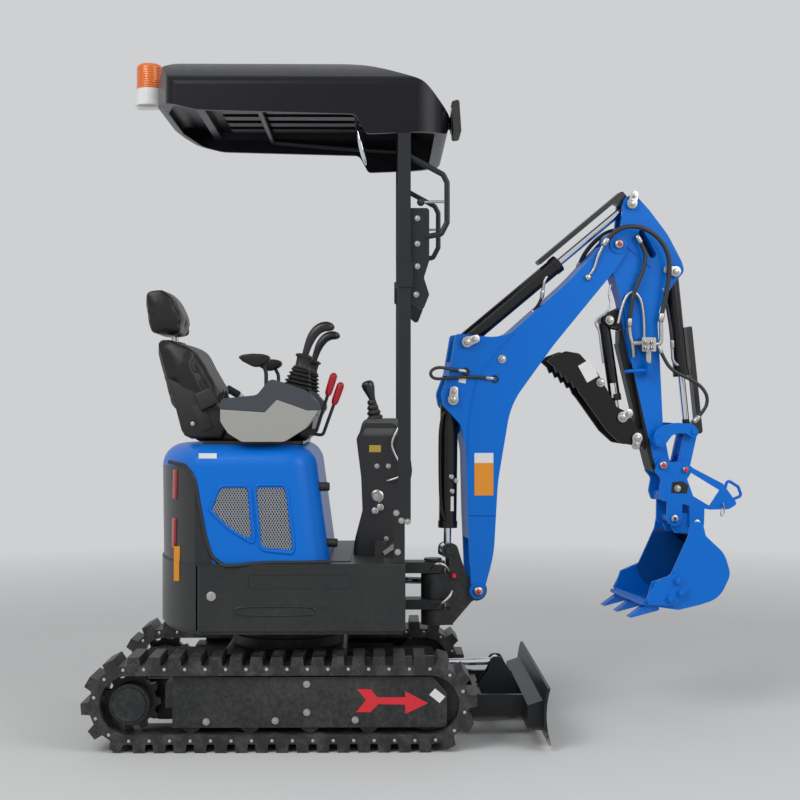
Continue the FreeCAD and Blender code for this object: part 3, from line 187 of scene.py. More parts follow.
def alone(piece):
    """Makes one piece the active and only selected object."""
    bpy.ops.object.select_all(action="DESELECT")
    bpy.context.view_layer.objects.active = piece
    piece.select_set(True)
    return piece


def added(name, kind, **options):
    """A mesh primitive at its size and place."""
    bpy.ops.object.select_all(action="DESELECT")
    getattr(bpy.ops.mesh, "primitive_%s_add" % kind)(**options)
    piece = bpy.context.object
    piece.name = name
    return piece


def finished(piece):
    """Applies a piece's modifiers in order, and then its place."""
    alone(piece)
    for modifier in list(piece.modifiers):
        bpy.ops.object.modifier_apply(modifier=modifier.name)
    bpy.ops.object.transform_apply(location=True, rotation=True, scale=True)
    return piece


def eased(piece, width, segments=2, angle=35):
    """Rounds the edges of a piece."""
    bevel = piece.modifiers.new("bevel", "BEVEL")
    bevel.width = width
    bevel.segments = segments
    bevel.angle_limit = math.radians(angle)
    finished(piece)
    bpy.ops.object.shade_smooth_by_angle(angle=math.radians(40))
    return piece


def in_one(name, pieces):
    """Joins pieces into one object."""
    bpy.ops.object.select_all(action="DESELECT")
    for piece in pieces:
        piece.select_set(True)
    bpy.context.view_layer.objects.active = pieces[0]
    if len(pieces) > 1:
        bpy.ops.object.join()
    pieces[0].name = name
    return pieces[0]


def repeated(name, model, places):
    """Copies of a model drawn at the origin, one at each place matrix, in one object."""
    copies = []
    for place in places:
        copy = model.copy()
        copy.data = model.data.copy()
        copy.data.transform(place)
        bpy.context.collection.objects.link(copy)
        copies.append(copy)
    bpy.data.objects.remove(model)
    return in_one(name, copies)


def facing(place, normal, up=(0, 0, 1)):
    """Matrix that stands a model's +Z along a normal at a place, its +Y towards up."""
    out = Vector(normal).normalized()
    across = Vector(up).cross(out)
    if across.length < 1e-4:
        across = Vector((1, 0, 0))
    across.normalize()
    turn = Matrix((across, out.cross(across), out)).transposed().to_4x4()
    return Matrix.Translation(place) @ turn


def put(piece, finish, body):
    """Gives a finished piece its material, and lets it ride on a body."""
    piece.data.materials.clear()
    piece.data.materials.append(finish.material)
    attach(piece, body)
    return piece


def corners(name):
    low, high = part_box(name)
    return Vector(low), Vector(high)


def middle(name):
    low, high = corners(name)
    return (low + high) / 2


LUGS = 40
BELT_OUTER = 0.136
PITCH_RADIUS = 0.119
LUG_DEPTH = 0.030
axle_rear, axle_front = middle("sprocket_right"), middle("idler_right")
axle_z = axle_front.z
wheel_base = axle_front.x - axle_rear.x
wheel_base_mid = (axle_front.x + axle_rear.x) / 2


def on_loop(link, radius):
    """Point and outward normal on a track's loop; links are counted from the rear of the ground run."""
    arc = math.pi * PITCH_RADIUS
    run = link * 2 * (wheel_base + arc) / LUGS
    front, rear = wheel_base_mid + wheel_base / 2, wheel_base_mid - wheel_base / 2
    if run < wheel_base:
        centre, normal = Vector((rear + run, 0, axle_z)), Vector((0, 0, -1))
    elif run < wheel_base + arc:
        turn = (run - wheel_base) / PITCH_RADIUS - math.pi / 2
        centre, normal = Vector((front, 0, axle_z)), Vector((math.cos(turn), 0, math.sin(turn)))
    elif run < 2 * wheel_base + arc:
        centre, normal = Vector((front - run + wheel_base + arc, 0, axle_z)), Vector((0, 0, 1))
    else:
        turn = (run - 2 * wheel_base - arc) / PITCH_RADIUS + math.pi / 2
        centre, normal = Vector((rear, 0, axle_z)), Vector((math.cos(turn), 0, math.sin(turn)))
    return centre + normal * radius, normal


def lug_shoe():
    """Cap of a lug: a rubber block with eased edges and a raised oval near each end."""
    block = added("shoe", "cube", size=1)
    block.scale = (0.176, 0.043, 0.020)
    block.location.z = LUG_DEPTH - 0.0102
    finished(block)
    bpy.ops.object.mode_set(mode="EDIT")
    bpy.ops.mesh.select_all(action="DESELECT")
    mesh = bmesh.from_edit_mesh(block.data)
    for face in mesh.faces:
        face.select_set(face.normal.z > 0.9)
    mesh.select_flush_mode()
    bpy.ops.transform.resize(value=(0.98, 0.82, 1))
    bpy.ops.object.mode_set(mode="OBJECT")
    eased(block, 0.004)
    rings = []
    for end in (-0.066, 0.066):
        ring = added("oval", "torus", major_radius=0.0095, minor_radius=0.0019, major_segments=16, minor_segments=6,
                     location=(end, 0, LUG_DEPTH - 0.0019))
        ring.scale = (1.5, 0.9, 1)
        rings.append(finished(ring))
    return in_one("shoe", [block, *rings])


def core_end():
    """End of a steel core, flush with the side of the belt."""
    end = added("core end", "cylinder", vertices=10, radius=0.0062, depth=0.006)
    return eased(end, 0.002)


steel_ends = Finish("bare steel")
steel_ends.surface(Base_Color=(0.56, 0.55, 0.52), Metallic=1.0,
                   Roughness=steel_ends.clouds(0.01) * 0.25 + 0.22)
for side_name in ("right", "left"):
    low, high = corners("track_" + side_name)
    shoe_places, end_places = [], []
    for link in range(LUGS):
        foot, normal = on_loop(link + 0.5, BELT_OUTER)
        foot.y = (low.y + high.y) / 2
        shoe_places.append(facing(foot, normal, normal.cross(Vector((0, 1, 0)))))
        for edge, out in ((low.y, -1), (high.y, 1)):
            spot = on_loop(link, BELT_OUTER - 0.012)[0]
            spot.y = edge
            end_places.append(facing(spot, (0, out, 0)))
    put(repeated("lug_shoes_" + side_name, lug_shoe(), shoe_places), rubber, "undercarriage")
    put(repeated("core_ends_" + side_name, core_end(), end_places), steel_ends, "undercarriage")


# Track frames, wheels and middle of the undercarriage
# Welded plate and castings under one satin charcoal coat, dusty near the ground, with zinc bolts.

def coat(name, colour, roughness=0.35, dust=0.25, gloss=0.4, peel=0.0002):
    """Sprayed paint: slight orange peel, scuffs, and dust that thickens towards the ground."""
    f = Finish(name)
    patches = f.clouds(0.35, 5.0, 0.6) * 0.6 + f.clouds(0.018, 4.0, 0.65) * 0.4
    low = 1 - f.along("Z").over(0.0, 0.75)
    share = ((patches - 0.42) * (low * 2.2 + 0.5) * (dust * 2.0)).upper(0.0).lower(1.0)
    scuffs = f.clouds(0.06, 8.0, 0.75).over(0.56, 0.7)
    f.surface(Base_Color=f.blend(share, colour, (0.24, 0.215, 0.18)), Coat_Weight=gloss, Coat_Roughness=0.08,
              Roughness=share * 0.45 + scuffs * 0.07 + roughness,
              Normal=f.relief(f.clouds(0.0022, 2.0), peel, 0.25))
    return f


frame_paint = coat("charcoal frame paint", (0.019, 0.021, 0.023), 0.42, 0.22, 0.06)
frame_paint.surface(Specular_IOR_Level=0.25)
dress(frame_paint, *both("sprocket"), *both("idler"), *both("track_frame"), "car_body")


def zinc():
    f = Finish("zinc plate")
    f.surface(Base_Color=f.blend(f.clouds(0.006), (0.36, 0.36, 0.35), (0.58, 0.58, 0.56)), Metallic=1.0,
              Roughness=f.clouds(0.004) * 0.2 + 0.25)
    return f


zinc_plate = zinc()


def bolt_model(radius):
    """Hexagon bolt head on a washer, standing on z = 0."""
    washer = added("washer", "cylinder", vertices=20, radius=radius * 1.45, depth=radius * 0.3,
                   location=(0, 0, radius * 0.15))
    head = added("head", "cylinder", vertices=6, radius=radius, depth=radius * 0.9,
                 location=(0, 0, radius * 0.7))
    eased(head, radius * 0.12)
    finished(washer)
    return in_one("bolt", [washer, head])


def bolts(name, body, radius, places, normal=(0, -1, 0), finish=None):
    """A group of like bolts in one piece."""
    put(repeated(name, bolt_model(radius), [facing(place, normal) for place in places]),
        finish or zinc_plate, body)


SLEW_X = JOINTS["house_slew"]["pos_m"][0]


def from_slew(x, y, z):
    """Place given in millimetres from the slew axis."""
    return Vector((SLEW_X + x / 1000, y / 1000, z / 1000))


PLATE_BOLTS = ((-256, 105), (-16, 108), (263, 110), (94, 235), (94, 137))
for side_name, side in (("right", -1), ("left", 1)):
    face = corners("track_frame_" + side_name)[0 if side < 0 else 1].y * 1000
    bolts("plate_bolts_" + side_name, "undercarriage", 0.0085,
          [from_slew(x, face, z) for x, z in PLATE_BOLTS], (0, side, 0))
    hub = middle("sprocket_" + side_name)
    cover = corners("sprocket_" + side_name)[0 if side < 0 else 1].y - side * 0.008
    ring = [Vector((hub.x + 0.064 * math.cos(math.tau * i / 9), cover, hub.z + 0.064 * math.sin(math.tau * i / 9)))
            for i in range(9)]
    bolts("motor_bolts_" + side_name, "undercarriage", 0.005, ring, (0, side, 0), frame_paint)


def flat_piece(name, outline, thickness, finish, body, place, normal, up=(0, 0, 1)):
    """Thin flat shape drawn in its own plane, in millimetres, and stuck on a face."""
    mesh = bpy.data.meshes.new(name)
    mesh.from_pydata([(x / 1000, y / 1000, 0) for x, y in outline], [], [tuple(range(len(outline)))])
    piece = bpy.data.objects.new(name, mesh)
    bpy.context.collection.objects.link(piece)
    alone(piece)
    bpy.ops.object.mode_set(mode="EDIT")
    bpy.ops.mesh.select_all(action="SELECT")
    bpy.ops.mesh.normals_make_consistent(inside=False)
    bpy.ops.object.mode_set(mode="OBJECT")
    thick = piece.modifiers.new("sheet", "SOLIDIFY")
    thick.thickness = thickness
    thick.offset = 0
    finished(piece)
    piece.data.transform(facing(place, normal, up))
    return put(piece, finish, body)


def printed(name, colour, roughness=0.35):
    f = Finish(name)
    f.surface(Base_Color=f.blend(f.clouds(0.03, 5.0), colour, tuple(c * 0.86 for c in colour)), Roughness=roughness)
    return f


red_film = printed("red film", (0.72, 0.02, 0.035))
white_film = printed("white film", (0.78, 0.78, 0.76))
amber_film = printed("amber film", (0.8, 0.3, 0.015))
ARROW = ((-85, 40), (-53, 2), (-88, -40), (-38, -40), (-10, -12), (83, -14), (85, -46), (163, -9), (83, 33),
         (84, 12), (-14, 12), (-36, 40))
arrow_face = corners("track_frame_right")[0].y * 1000
flat_piece("travel_arrow", ARROW, 0.0012, red_film, "undercarriage", from_slew(354, arrow_face - 0.7, 177), (0, -1, 0))
flat_piece("tilted_sticker", ((-24, -14), (22, -14), (24, 16), (-22, 16)), 0.001, white_film, "undercarriage",
           from_slew(549, arrow_face - 0.7, 193), (0, -1, 0), (0.62, 0, 0.78))


# Blade
# Curved plate on two arms, charcoal like the frame, its lower edge scoured to bare steel.

def scoured_paint():
    f = coat("scoured blade paint", (0.01, 0.011, 0.013), 0.42, 0.2, 0.05)
    wear = (1 - f.along("Z").over(0.03, 0.075)) * f.clouds(0.012, 6.0, 0.7).over(0.36, 0.5)
    f.surface(Base_Color=f.blend(wear, (0.01, 0.011, 0.013), (0.3, 0.28, 0.25)), Metallic=wear * 0.8,
              Specular_IOR_Level=0.3,
              Roughness=wear * -0.08 + 0.45)
    return f


dress(scoured_paint(), "blade")


# House frame, deck, skirts and tail weight
# Plate floor, pressed side skirts and a cast tail weight, sprayed one charcoal with a soft gloss.

panel_paint = coat("charcoal panel paint", (0.019, 0.022, 0.023), 0.34, 0.12, 0.15)
panel_paint.surface(Specular_IOR_Level=0.25)
dress(frame_paint, "house_frame", "deck_floor")
dress(panel_paint, "skirts", "tail_weight")


def on_skin(node, start, direction):
    """Where a ray from a start first meets a construction node, and the skin's normal there."""
    mesh = NODES[node]
    hit, place, normal, _ = mesh.ray_cast(Vector(start), Vector(direction).normalized())
    if not hit:
        raise RuntimeError("no skin of %s there" % node)
    return place, normal


def tube(name, points, radius, finish, body, closed=False, radii=None, facets=3):
    """Round bar, pipe or trim along a smooth line."""
    line = bpy.data.curves.new(name, "CURVE")
    line.dimensions = "3D"
    line.bevel_depth = radius
    line.bevel_resolution = facets
    line.resolution_u = 6
    line.use_fill_caps = not closed
    spline = line.splines.new("NURBS")
    spline.points.add(len(points) - 1)
    for number, point in enumerate(points):
        spline.points[number].co = (*point, 1)
        spline.points[number].radius = radii[number] if radii else 1
    spline.order_u = 3
    spline.use_endpoint_u = not closed
    spline.use_cyclic_u = closed
    piece = bpy.data.objects.new(name, line)
    bpy.context.collection.objects.link(piece)
    alone(piece)
    bpy.ops.object.convert(target="MESH")
    piece = bpy.context.object
    bpy.ops.object.shade_smooth()
    return put(piece, finish, body)


def black_moulding(name, colour=(0.014, 0.014, 0.015), roughness=0.45, grain=0.0009):
    f = Finish(name)
    f.surface(Base_Color=f.blend(f.clouds(0.2, 4.0) * 0.35, colour, tuple(c * 1.6 + 0.006 for c in colour)),
              Roughness=f.clouds(0.03, 4.0) * 0.12 + roughness, Normal=f.relief(f.cells(grain), 0.0003, 0.4))
    return f


black_rubber = black_moulding("black rubber trim", (0.01, 0.01, 0.01), 0.5)
SKIRT_FACE = corners("skirts")[0].y * 1000
PILL = ((-150, 500), (110, 500), (126, 484), (110, 468), (-150, 468), (-166, 484))
for side in (-1, 1):
    mark = "right" if side < 0 else "left"
    rim = [from_slew(x, side * abs(SKIRT_FACE), z) for x, z in PILL]
    tube("skirt_rim_" + mark, rim, 0.0035, panel_paint, "house", closed=True, facets=2)
    lock_x, lock_z = -244, 536
    lock = added("lock", "cylinder", vertices=28, radius=0.017, depth=0.007)
    eased(lock, 0.002)
    slot_bar = added("keyway", "cube", size=1)
    slot_bar.scale = (0.003, 0.016, 0.004)
    slot_bar.location.z = 0.004
    eased(slot_bar, 0.0008)
    skin, normal = on_skin("tail_weight", from_slew(lock_x, side * 700, lock_z), (0, -side, 0))
    put(repeated("tail_lock_" + mark, in_one("lock", [lock, slot_bar]), [facing(skin, normal)]), zinc_plate, "house")


# Hood, rear cover and screens
# Pressed steel hood in bright blue gloss, a dark cover behind it, and expanded metal in its windows.

BLUE = (0.0, 0.145, 0.6)
blue_paint = coat("blue gloss paint", BLUE, 0.38, 0.02, 0.08, 0.0001)
blue_paint.surface(Specular_IOR_Level=0.18)
dress(blue_paint, "engine_hood")
dress(panel_paint, "rear_cover")


def expanded_metal():
    """Diamond mesh of slit and stretched sheet, silver strands with painted shade in the gaps between them, standing
    for the hollow behind.
    """
    f = Finish("expanded metal screen")
    across, up = f.along("X"), f.along("Z")
    first = (across * 105 + up * 62).maths("FRACT")
    second = (across * 105 - up * 62).maths("FRACT")
    strand = ((first - 0.5).maths("ABSOLUTE")).upper((second - 0.5).maths("ABSOLUTE")).over(0.30, 0.40)
    # The gaps between strands are painted near black: painted shade of the hollow behind the screen.
    f.surface(Base_Color=f.blend(strand, (0.004, 0.006, 0.01), (0.42, 0.44, 0.47)), Metallic=strand * 0.9,
              Roughness=strand * -0.35 + 0.75, Normal=f.relief(strand, 0.0015, 0.9))
    return f


dress(expanded_metal(), "grilles")
dress(frame_paint, "engine_block")

HOOD_SIDE = 700
TRIM_LINE = ((-421, 1000), (-350, 994), (-311, 958), (-294, 870), (-269, 743), (-244, 672), (-198, 640), (-60, 652),
             (173, 652))
WINDOWS = (((-212, 915), (-121, 915), (-103, 727), (-186, 778), (-246, 838)),
           ((-89, 915), (13, 915), (41, 695), (-68, 707)))


def hood_skin(x, z, side):
    """Place on the outside of the hood or its rear cover."""
    for node in ("engine_hood", "rear_cover", "grilles", "tail_weight", "deck_floor", "skirts"):
        try:
            return on_skin(node, from_slew(x, side * HOOD_SIDE, z), (0, -side, 0))[0]
        except RuntimeError:
            continue
    return from_slew(x, side * 400, z)


def between(points, parts):
    """A line's points with more of them on each run."""
    dense = []
    for first, second in zip(points, points[1:]):
        dense += [tuple(a + (b - a) * i / parts for a, b in zip(first, second)) for i in range(parts)]
    return dense + [points[-1]]


for side in (-1, 1):
    mark = "right" if side < 0 else "left"
    tube("hood_seal_" + mark, [hood_skin(x, z, side) for x, z in between(TRIM_LINE, 2)], 0.0075, black_rubber, "house")
    for number, window in enumerate(WINDOWS):
        middle_x = sum(x for x, z in window) / len(window)
        middle_z = sum(z for x, z in window) / len(window)
        wide = [(middle_x + (x - middle_x) * 1.13, middle_z + (z - middle_z) * 1.1) for x, z in window]
        ring = [hood_skin(x, z, side) for x, z in between([*wide, wide[0]], 3)[:-1]]
        tube("window_rim_%s_%d" % (mark, number + 1), ring, 0.006, blue_paint, "house", closed=True, facets=2)

lamp_red = Finish("red lamp plastic")
lamp_red.surface(Base_Color=(0.35, 0.004, 0.006), Roughness=0.12, Coat_Weight=0.6,
                 Normal=lamp_red.relief(lamp_red.along("Z").maths("SINE") * 1.0, 0.0004, 0.2))
TAIL_LAMPS = ((290, 868, 975), (290, 690, 800))
BEHIND = -900
for number, (y, low, high) in enumerate(TAIL_LAMPS):
    for side in (-1, 1):
        lens = added("lens", "cube", size=1)
        lens.scale = (0.03, 0.012, (high - low) / 1000)
        eased(finished(lens), 0.005, 3)
        skin, normal = on_skin("rear_cover", from_slew(BEHIND, side * y, (low + high) / 2), (1, 0, 0))
        place = facing(skin, normal) @ Matrix.Rotation(math.pi / 2, 4, "X")
        put(repeated("tail_lamp_%d_%s" % (number + 1, "right" if side < 0 else "left"), lens, [place]), lamp_red, "house")
flat_piece("cover_sticker", ((-19, -62), (19, -62), (19, 62), (-19, 62)), 0.001, amber_film, "house",
           hood_skin(-372, 640, -1) + Vector((0, -0.0008, 0)), (-0.25, -1, 0))
flat_piece("hood_sticker", ((-32, -15), (32, -15), (32, 15), (-32, 15)), 0.001, white_film, "house",
           hood_skin(-263, 1022, -1) + Vector((0, -0.0008, 0)), (0, -1, 0.1))
for number, (x, z) in enumerate(((157, 914), (194, 711))):
    skin, normal = on_skin("engine_hood", from_slew(800, -300, z), (-1, 0, 0))
    latch = added("latch", "cylinder", vertices=20, radius=0.016, depth=0.05)
    eased(latch, 0.006, 3)
    put(repeated("hood_latch_%d" % (number + 1), latch, [facing(skin + Vector((0.012, 0, 0)), (1, 0, 0))]),
        black_rubber, "house")


# Seat
# Foam under black leatherette, sewn in channels, with a headrest on two rods and a flat steel base.

def leatherette():
    f = Finish("black leatherette")
    grain = f.cells(0.0028) * 0.6 + f.clouds(0.012, 4.0) * 0.4
    f.surface(Base_Color=f.blend(f.clouds(0.1, 4.0), (0.006, 0.006, 0.0065), (0.014, 0.013, 0.013)),
              Roughness=f.clouds(0.05) * 0.14 + 0.3, Specular_IOR_Level=0.35, Normal=f.relief(grain, 0.0006, 0.35))
    return f


seat_cover = leatherette()
dress(panel_paint, "seat_base")


def foam(name, node, low_z, high_z, voxel=0.007):
    """Copy of a seat node between two heights, remeshed evenly."""
    low, high = corners(node)
    piece = bpy.data.objects.new(name, NODES[node].data.copy())
    bpy.context.collection.objects.link(piece)
    mesh = bmesh.new()
    mesh.from_mesh(piece.data)
    bmesh.ops.remove_doubles(mesh, verts=mesh.verts, dist=1e-5)
    for level, way in ((low_z, -1), (high_z, 1)):
        whole = mesh.verts[:] + mesh.edges[:] + mesh.faces[:]
        bmesh.ops.bisect_plane(mesh, geom=whole, plane_co=(0, 0, level), plane_no=(0, 0, way), clear_outer=True)
        bmesh.ops.holes_fill(mesh, edges=[edge for edge in mesh.edges if edge.is_boundary])
    mesh.to_mesh(piece.data)
    mesh.free()
    alone(piece)
    piece.data.remesh_voxel_size = voxel
    bpy.ops.object.voxel_remesh()
    return piece


def plumped(piece, swell, pressure=4.0):
    """Blows a foam piece up as its cover would hold it, no point further than swell."""
    rest = [v.co.copy() for v in piece.data.vertices]
    soften = piece.modifiers.new("soften", "SMOOTH")
    soften.factor = 0.5
    soften.iterations = 14
    finished(piece)
    cloth = piece.modifiers.new("cloth", "CLOTH")
    cloth.settings.use_pressure = True
    cloth.settings.uniform_pressure_force = pressure
    cloth.settings.effector_weights.gravity = 0
    cloth.settings.mass = 0.3
    cloth.settings.tension_stiffness = 30
    scene = bpy.context.scene
    for number in range(1, 21):
        scene.frame_set(number)
    graph = bpy.context.evaluated_depsgraph_get()
    blown = [v.co.copy() for v in piece.evaluated_get(graph).data.vertices]
    piece.modifiers.remove(cloth)
    scene.frame_set(1)
    for vertex, old, new in zip(piece.data.vertices, rest, blown):
        move = new - old
        vertex.co = old + move * min(1, swell / max(move.length, 1e-6))
    return piece


def sewn(piece, seams, depth=0.006, width=0.006):
    """Pulls a cover in along its seams; each seam gives a point's distance from it, in metres."""
    finished(piece)
    skin = [(vertex.co.copy(), vertex.normal.copy()) for vertex in piece.data.vertices]
    for vertex, (place, normal) in zip(piece.data.vertices, skin):
        pull = max(math.exp(-(seam(place, normal) / width) ** 2) for seam in seams)
        vertex.co = place - normal * depth * pull
    alone(piece)
    bpy.ops.object.shade_smooth()
    return piece


FAR = 9.0


def channel(slope, level, faces):
    """Seam where z - slope * x = level, on faces that look a given way."""
    return lambda place, normal: abs(place.z - slope * place.x - level) if normal.dot(faces) > 0.3 else FAR


def side_seam(half, faces):
    return lambda place, normal: abs(abs(place.y) - half) if normal.dot(faces) > 0.2 else FAR


pad_low, pad_high = corners("seat_cushion")
back_low, back_high = corners("seat_back")
pad = plumped(foam("seat_pad", "seat_cushion", pad_low.z - 1, pad_high.z + 1), 0.012)
UP, AHEAD = Vector((0, 0, 1)), Vector((0.96, 0, 0.28))
pad_seams = [side_seam(0.15, UP)] + [lambda place, normal, x=x: abs(place.x - x) if normal.z > 0.3 and abs(place.y) < 0.15
                                     else FAR for x in (SLEW_X - 0.18, SLEW_X - 0.09, SLEW_X)]
put(sewn(pad, pad_seams), seat_cover, "house")
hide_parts("seat_cushion")
HEAD_FOOT = 1.464
back = plumped(foam("back_pad", "seat_back", back_low.z - 1, 1.456), 0.010)
back_seams = [side_seam(0.15, AHEAD)] + [lambda place, normal, y=y: abs(place.y - y) if normal.dot(AHEAD) > 0.3 else FAR
                                        for y in (-0.075, 0, 0.075)]
put(sewn(back, back_seams), seat_cover, "house")
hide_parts("seat_back")
head = plumped(foam("head_pad", "seat_back", 1.476, back_high.z + 1), 0.006)
head_face = Vector((0.9, 0, 0.4))
put(sewn(head, [side_seam(0.098, head_face), channel(-0.55, 1.505 + 0.55 * (SLEW_X - 0.39), head_face)], 0.004),
    seat_cover, "house")
for side in (-1, 1):
    tube("head_rod_" + ("right" if side < 0 else "left"),
         [from_slew(-432, side * 45, 1430), from_slew(-434, side * 45, 1460), from_slew(-440, side * 45, 1500)], 0.007,
         zinc_plate, "house")
for side in (-1, 1):
    mark = "right" if side < 0 else "left"
    bolts("seat_bolt_" + mark, "house", 0.009, [from_slew(-335, side * 232, 1140)], (0, side, 0))
    reel = added("belt_reel_" + mark, "cube", size=1)
    reel.scale = (0.068, 0.026, 0.07)
    reel.rotation_euler.y = math.radians(-24)
    reel.location = from_slew(-287, side * 245, 1230)
    put(eased(finished(reel), 0.010, 4), black_rubber, "house")
    webbing = added("belt_webbing_" + mark, "cube", size=1)
    webbing.scale = (0.045, 0.003, 0.10)
    webbing.rotation_euler.y = math.radians(-20)
    webbing.location = from_slew(-300, side * 238, 1165)
    put(eased(finished(webbing), 0.001), black_rubber, "house")
buckle = added("belt_buckle", "cube", size=1)
buckle.scale = (0.06, 0.02, 0.03)
buckle.rotation_euler.y = math.radians(30)
buckle.location = from_slew(-240, 248, 1262)
put(eased(finished(buckle), 0.006, 3), black_rubber, "house")
tongue = added("belt_tongue", "cube", size=1)
tongue.scale = (0.038, 0.008, 0.02)
tongue.rotation_euler.y = math.radians(34)
tongue.location = from_slew(-208, 248, 1244)
put(eased(finished(tongue), 0.003, 2), white_film, "house")


# Seat shell
# Black pan moulding that joins the backrest to the base, closed at both sides.

SEAT_PAN = ((-434, 1312), (-401, 1204), (-378, 1116), (-366, 1097), (-341, 1085), (-229, 1083), (-205, 1140), (-240, 1200),
            (-318, 1265))
pan_x, pan_z = -330, 1180
pan = flat_piece("seat_pan", [(x - pan_x, z - pan_z) for x, z in SEAT_PAN], 0.47, black_rubber, "house", from_slew(pan_x, 0, pan_z),
                 (0, -1, 0))
eased(pan, 0.012, 3)


# Consoles and armrests
# Two moulded halves on each side of the seat, slate above and light warm grey below, and soft pads.

SPLIT_STEPS = ((-0.227, -0.060, -0.011), (-0.060, -0.017, 0.045), (-0.017, 0.090, -0.038))


def two_tone():
    """Lower half of a console in its lighter grey, split along the moulding's line."""
    f = Finish("two-tone console plastic")
    x, z = f.along("X") - SLEW_X, f.along("Z")
    above = z - 1.193
    for start, end, rise in SPLIT_STEPS:
        above = above - x.over(start, end) * rise
    share = above.over(-0.0008, 0.0008)
    edge = 1 - above.maths("ABSOLUTE").over(0.001, 0.003)
    grain = f.cells(0.0009) * 0.3
    f.surface(Base_Color=f.blend(share, (0.33, 0.325, 0.305), (0.042, 0.048, 0.06)), Roughness=f.clouds(0.03) * 0.1 + 0.45,
              Normal=f.relief(grain - edge * 3, 0.0006, 0.5))
    return f


console_plastic = two_tone()
dress(console_plastic, *both("console"))
slate = black_moulding("slate moulding", (0.06, 0.063, 0.06), 0.5)
BOAT = ((-60, 14), (-44, 22), (-8, 26), (30, 24), (52, 18), (56, 4), (46, -8), (12, -22), (-6, -22), (-44, -2))
for side in (-1, 1):
    mark = "right" if side < 0 else "left"
    rest_pad = flat_piece("armrest_pad_" + mark, BOAT, 0.058, seat_cover, "house", from_slew(-102, side * 300, 1368), (0, -1, 0))
    eased(rest_pad, 0.011, 5, 20)
    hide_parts("armrest_" + mark)
    tube("armrest_stem_" + mark, [from_slew(x, side * 300, z) for x, z in ((-62, 1262), (-62, 1300), (-62, 1330), (-72, 1350),
                                                                           (-82, 1366))], 0.007, black_rubber, "house")


# Joysticks and side levers
# Rubber bellows with five folds, a disc collar, and a curved grip in satin black.

def turned(name, profile, steps=28):
    """Body of revolution from its profile, a list of radius and height in metres."""
    mesh = bpy.data.meshes.new(name)
    mesh.from_pydata([(r, 0, z) for r, z in profile], [(i, i + 1) for i in range(len(profile) - 1)], [])
    piece = bpy.data.objects.new(name, mesh)
    bpy.context.collection.objects.link(piece)
    alone(piece)
    bpy.ops.object.mode_set(mode="EDIT")
    bpy.ops.mesh.select_all(action="SELECT")
    bpy.ops.mesh.spin(steps=steps, angle=math.tau, center=(0, 0, 0), axis=(0, 0, 1))
    bpy.ops.mesh.select_all(action="SELECT")
    bpy.ops.mesh.remove_doubles(threshold=1e-5)
    bpy.ops.mesh.normals_make_consistent(inside=False)
    bpy.ops.object.mode_set(mode="OBJECT")
    bpy.ops.object.shade_smooth_by_angle(angle=math.radians(50))
    return piece


def bellows(foot, top, height, folds):
    """Profile of a rubber boot that narrows in folds."""
    profile = [(0, 0), (foot, 0)]
    for fold in range(folds):
        share = (fold + 0.5) / folds
        radius = foot + (top - foot) * share
        step = height / folds
        profile += [(radius * 0.8, fold * step + step * 0.05), (radius, fold * step + step * 0.42),
                    (radius, fold * step + step * 0.58), (radius * 0.8, fold * step + step * 0.95)]
    return profile + [(top, height), (0, height)]


boot_rubber = black_moulding("bellows rubber", (0.012, 0.012, 0.012), 0.42)
grip_plastic = black_moulding("satin grip plastic", (0.012, 0.012, 0.013), 0.25, 0.003)
red_plastic = black_moulding("red grip plastic", (0.42, 0.006, 0.01), 0.28)
NECK = [(0.026, 0.094), (0.024, 0.1), (0.025, 0.124), (0.029, 0.13), (0, 0.13)]
GRIP_LINE = ((80, 1388), (86, 1408), (94, 1432), (106, 1458), (126, 1482), (150, 1492), (168, 1490), (179, 1486), (184, 1483))
for side in (-1, 1):
    mark = "right" if side < 0 else "left"
    y = side * 324
    lean = (0.24, 0, 1)
    folds = turned("boot", bellows(0.060, 0.034, 0.088, 6)[:-1] + NECK)
    boot = repeated("joystick_boot_" + mark, folds, [facing(from_slew(46, y, 1254), lean, (0, 1, 0))])
    put(boot, boot_rubber, "house")
    collar = turned("collar", [(0, 0), (0.030, 0), (0.033, 0.004), (0.030, 0.009), (0.018, 0.013), (0, 0.013)])
    collar = repeated("joystick_collar_" + mark, collar, [facing(from_slew(76, y, 1379), lean, (0, 1, 0))])
    put(collar, boot_rubber, "house")
    grip = tube("joystick_grip_" + mark, [from_slew(x, y, z) for x, z in GRIP_LINE], 0.016, grip_plastic, "house",
                radii=(0.75, 0.8, 0.92, 1.08, 1.16, 1.15, 1.05, 0.75, 0.3), facets=6)
    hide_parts("joystick_" + mark)
dress(black_rubber, "side_levers")
for number, (y, top, bend) in enumerate(((-252, (181, 1318), (116, 1110)), (-236, (206, 1284), (140, 1098)))):
    reach = Vector((top[0] - bend[0], top[1] - bend[1])).normalized() * 58
    line = [from_slew(top[0] - reach.x * t, y, top[1] - reach.y * t) for t in (-0.14, -0.06, 0.2, 0.8, 1.25, 1.34)]
    tube("red_grip_%d" % (number + 1), line, 0.0135, red_plastic, "house", radii=(0.3, 0.95, 1.06, 1.02, 0.95, 0.6), facets=5)


# Control tower
# Moulded black housing with a grey dome, two travel levers out of bellows, a key switch and pedals.

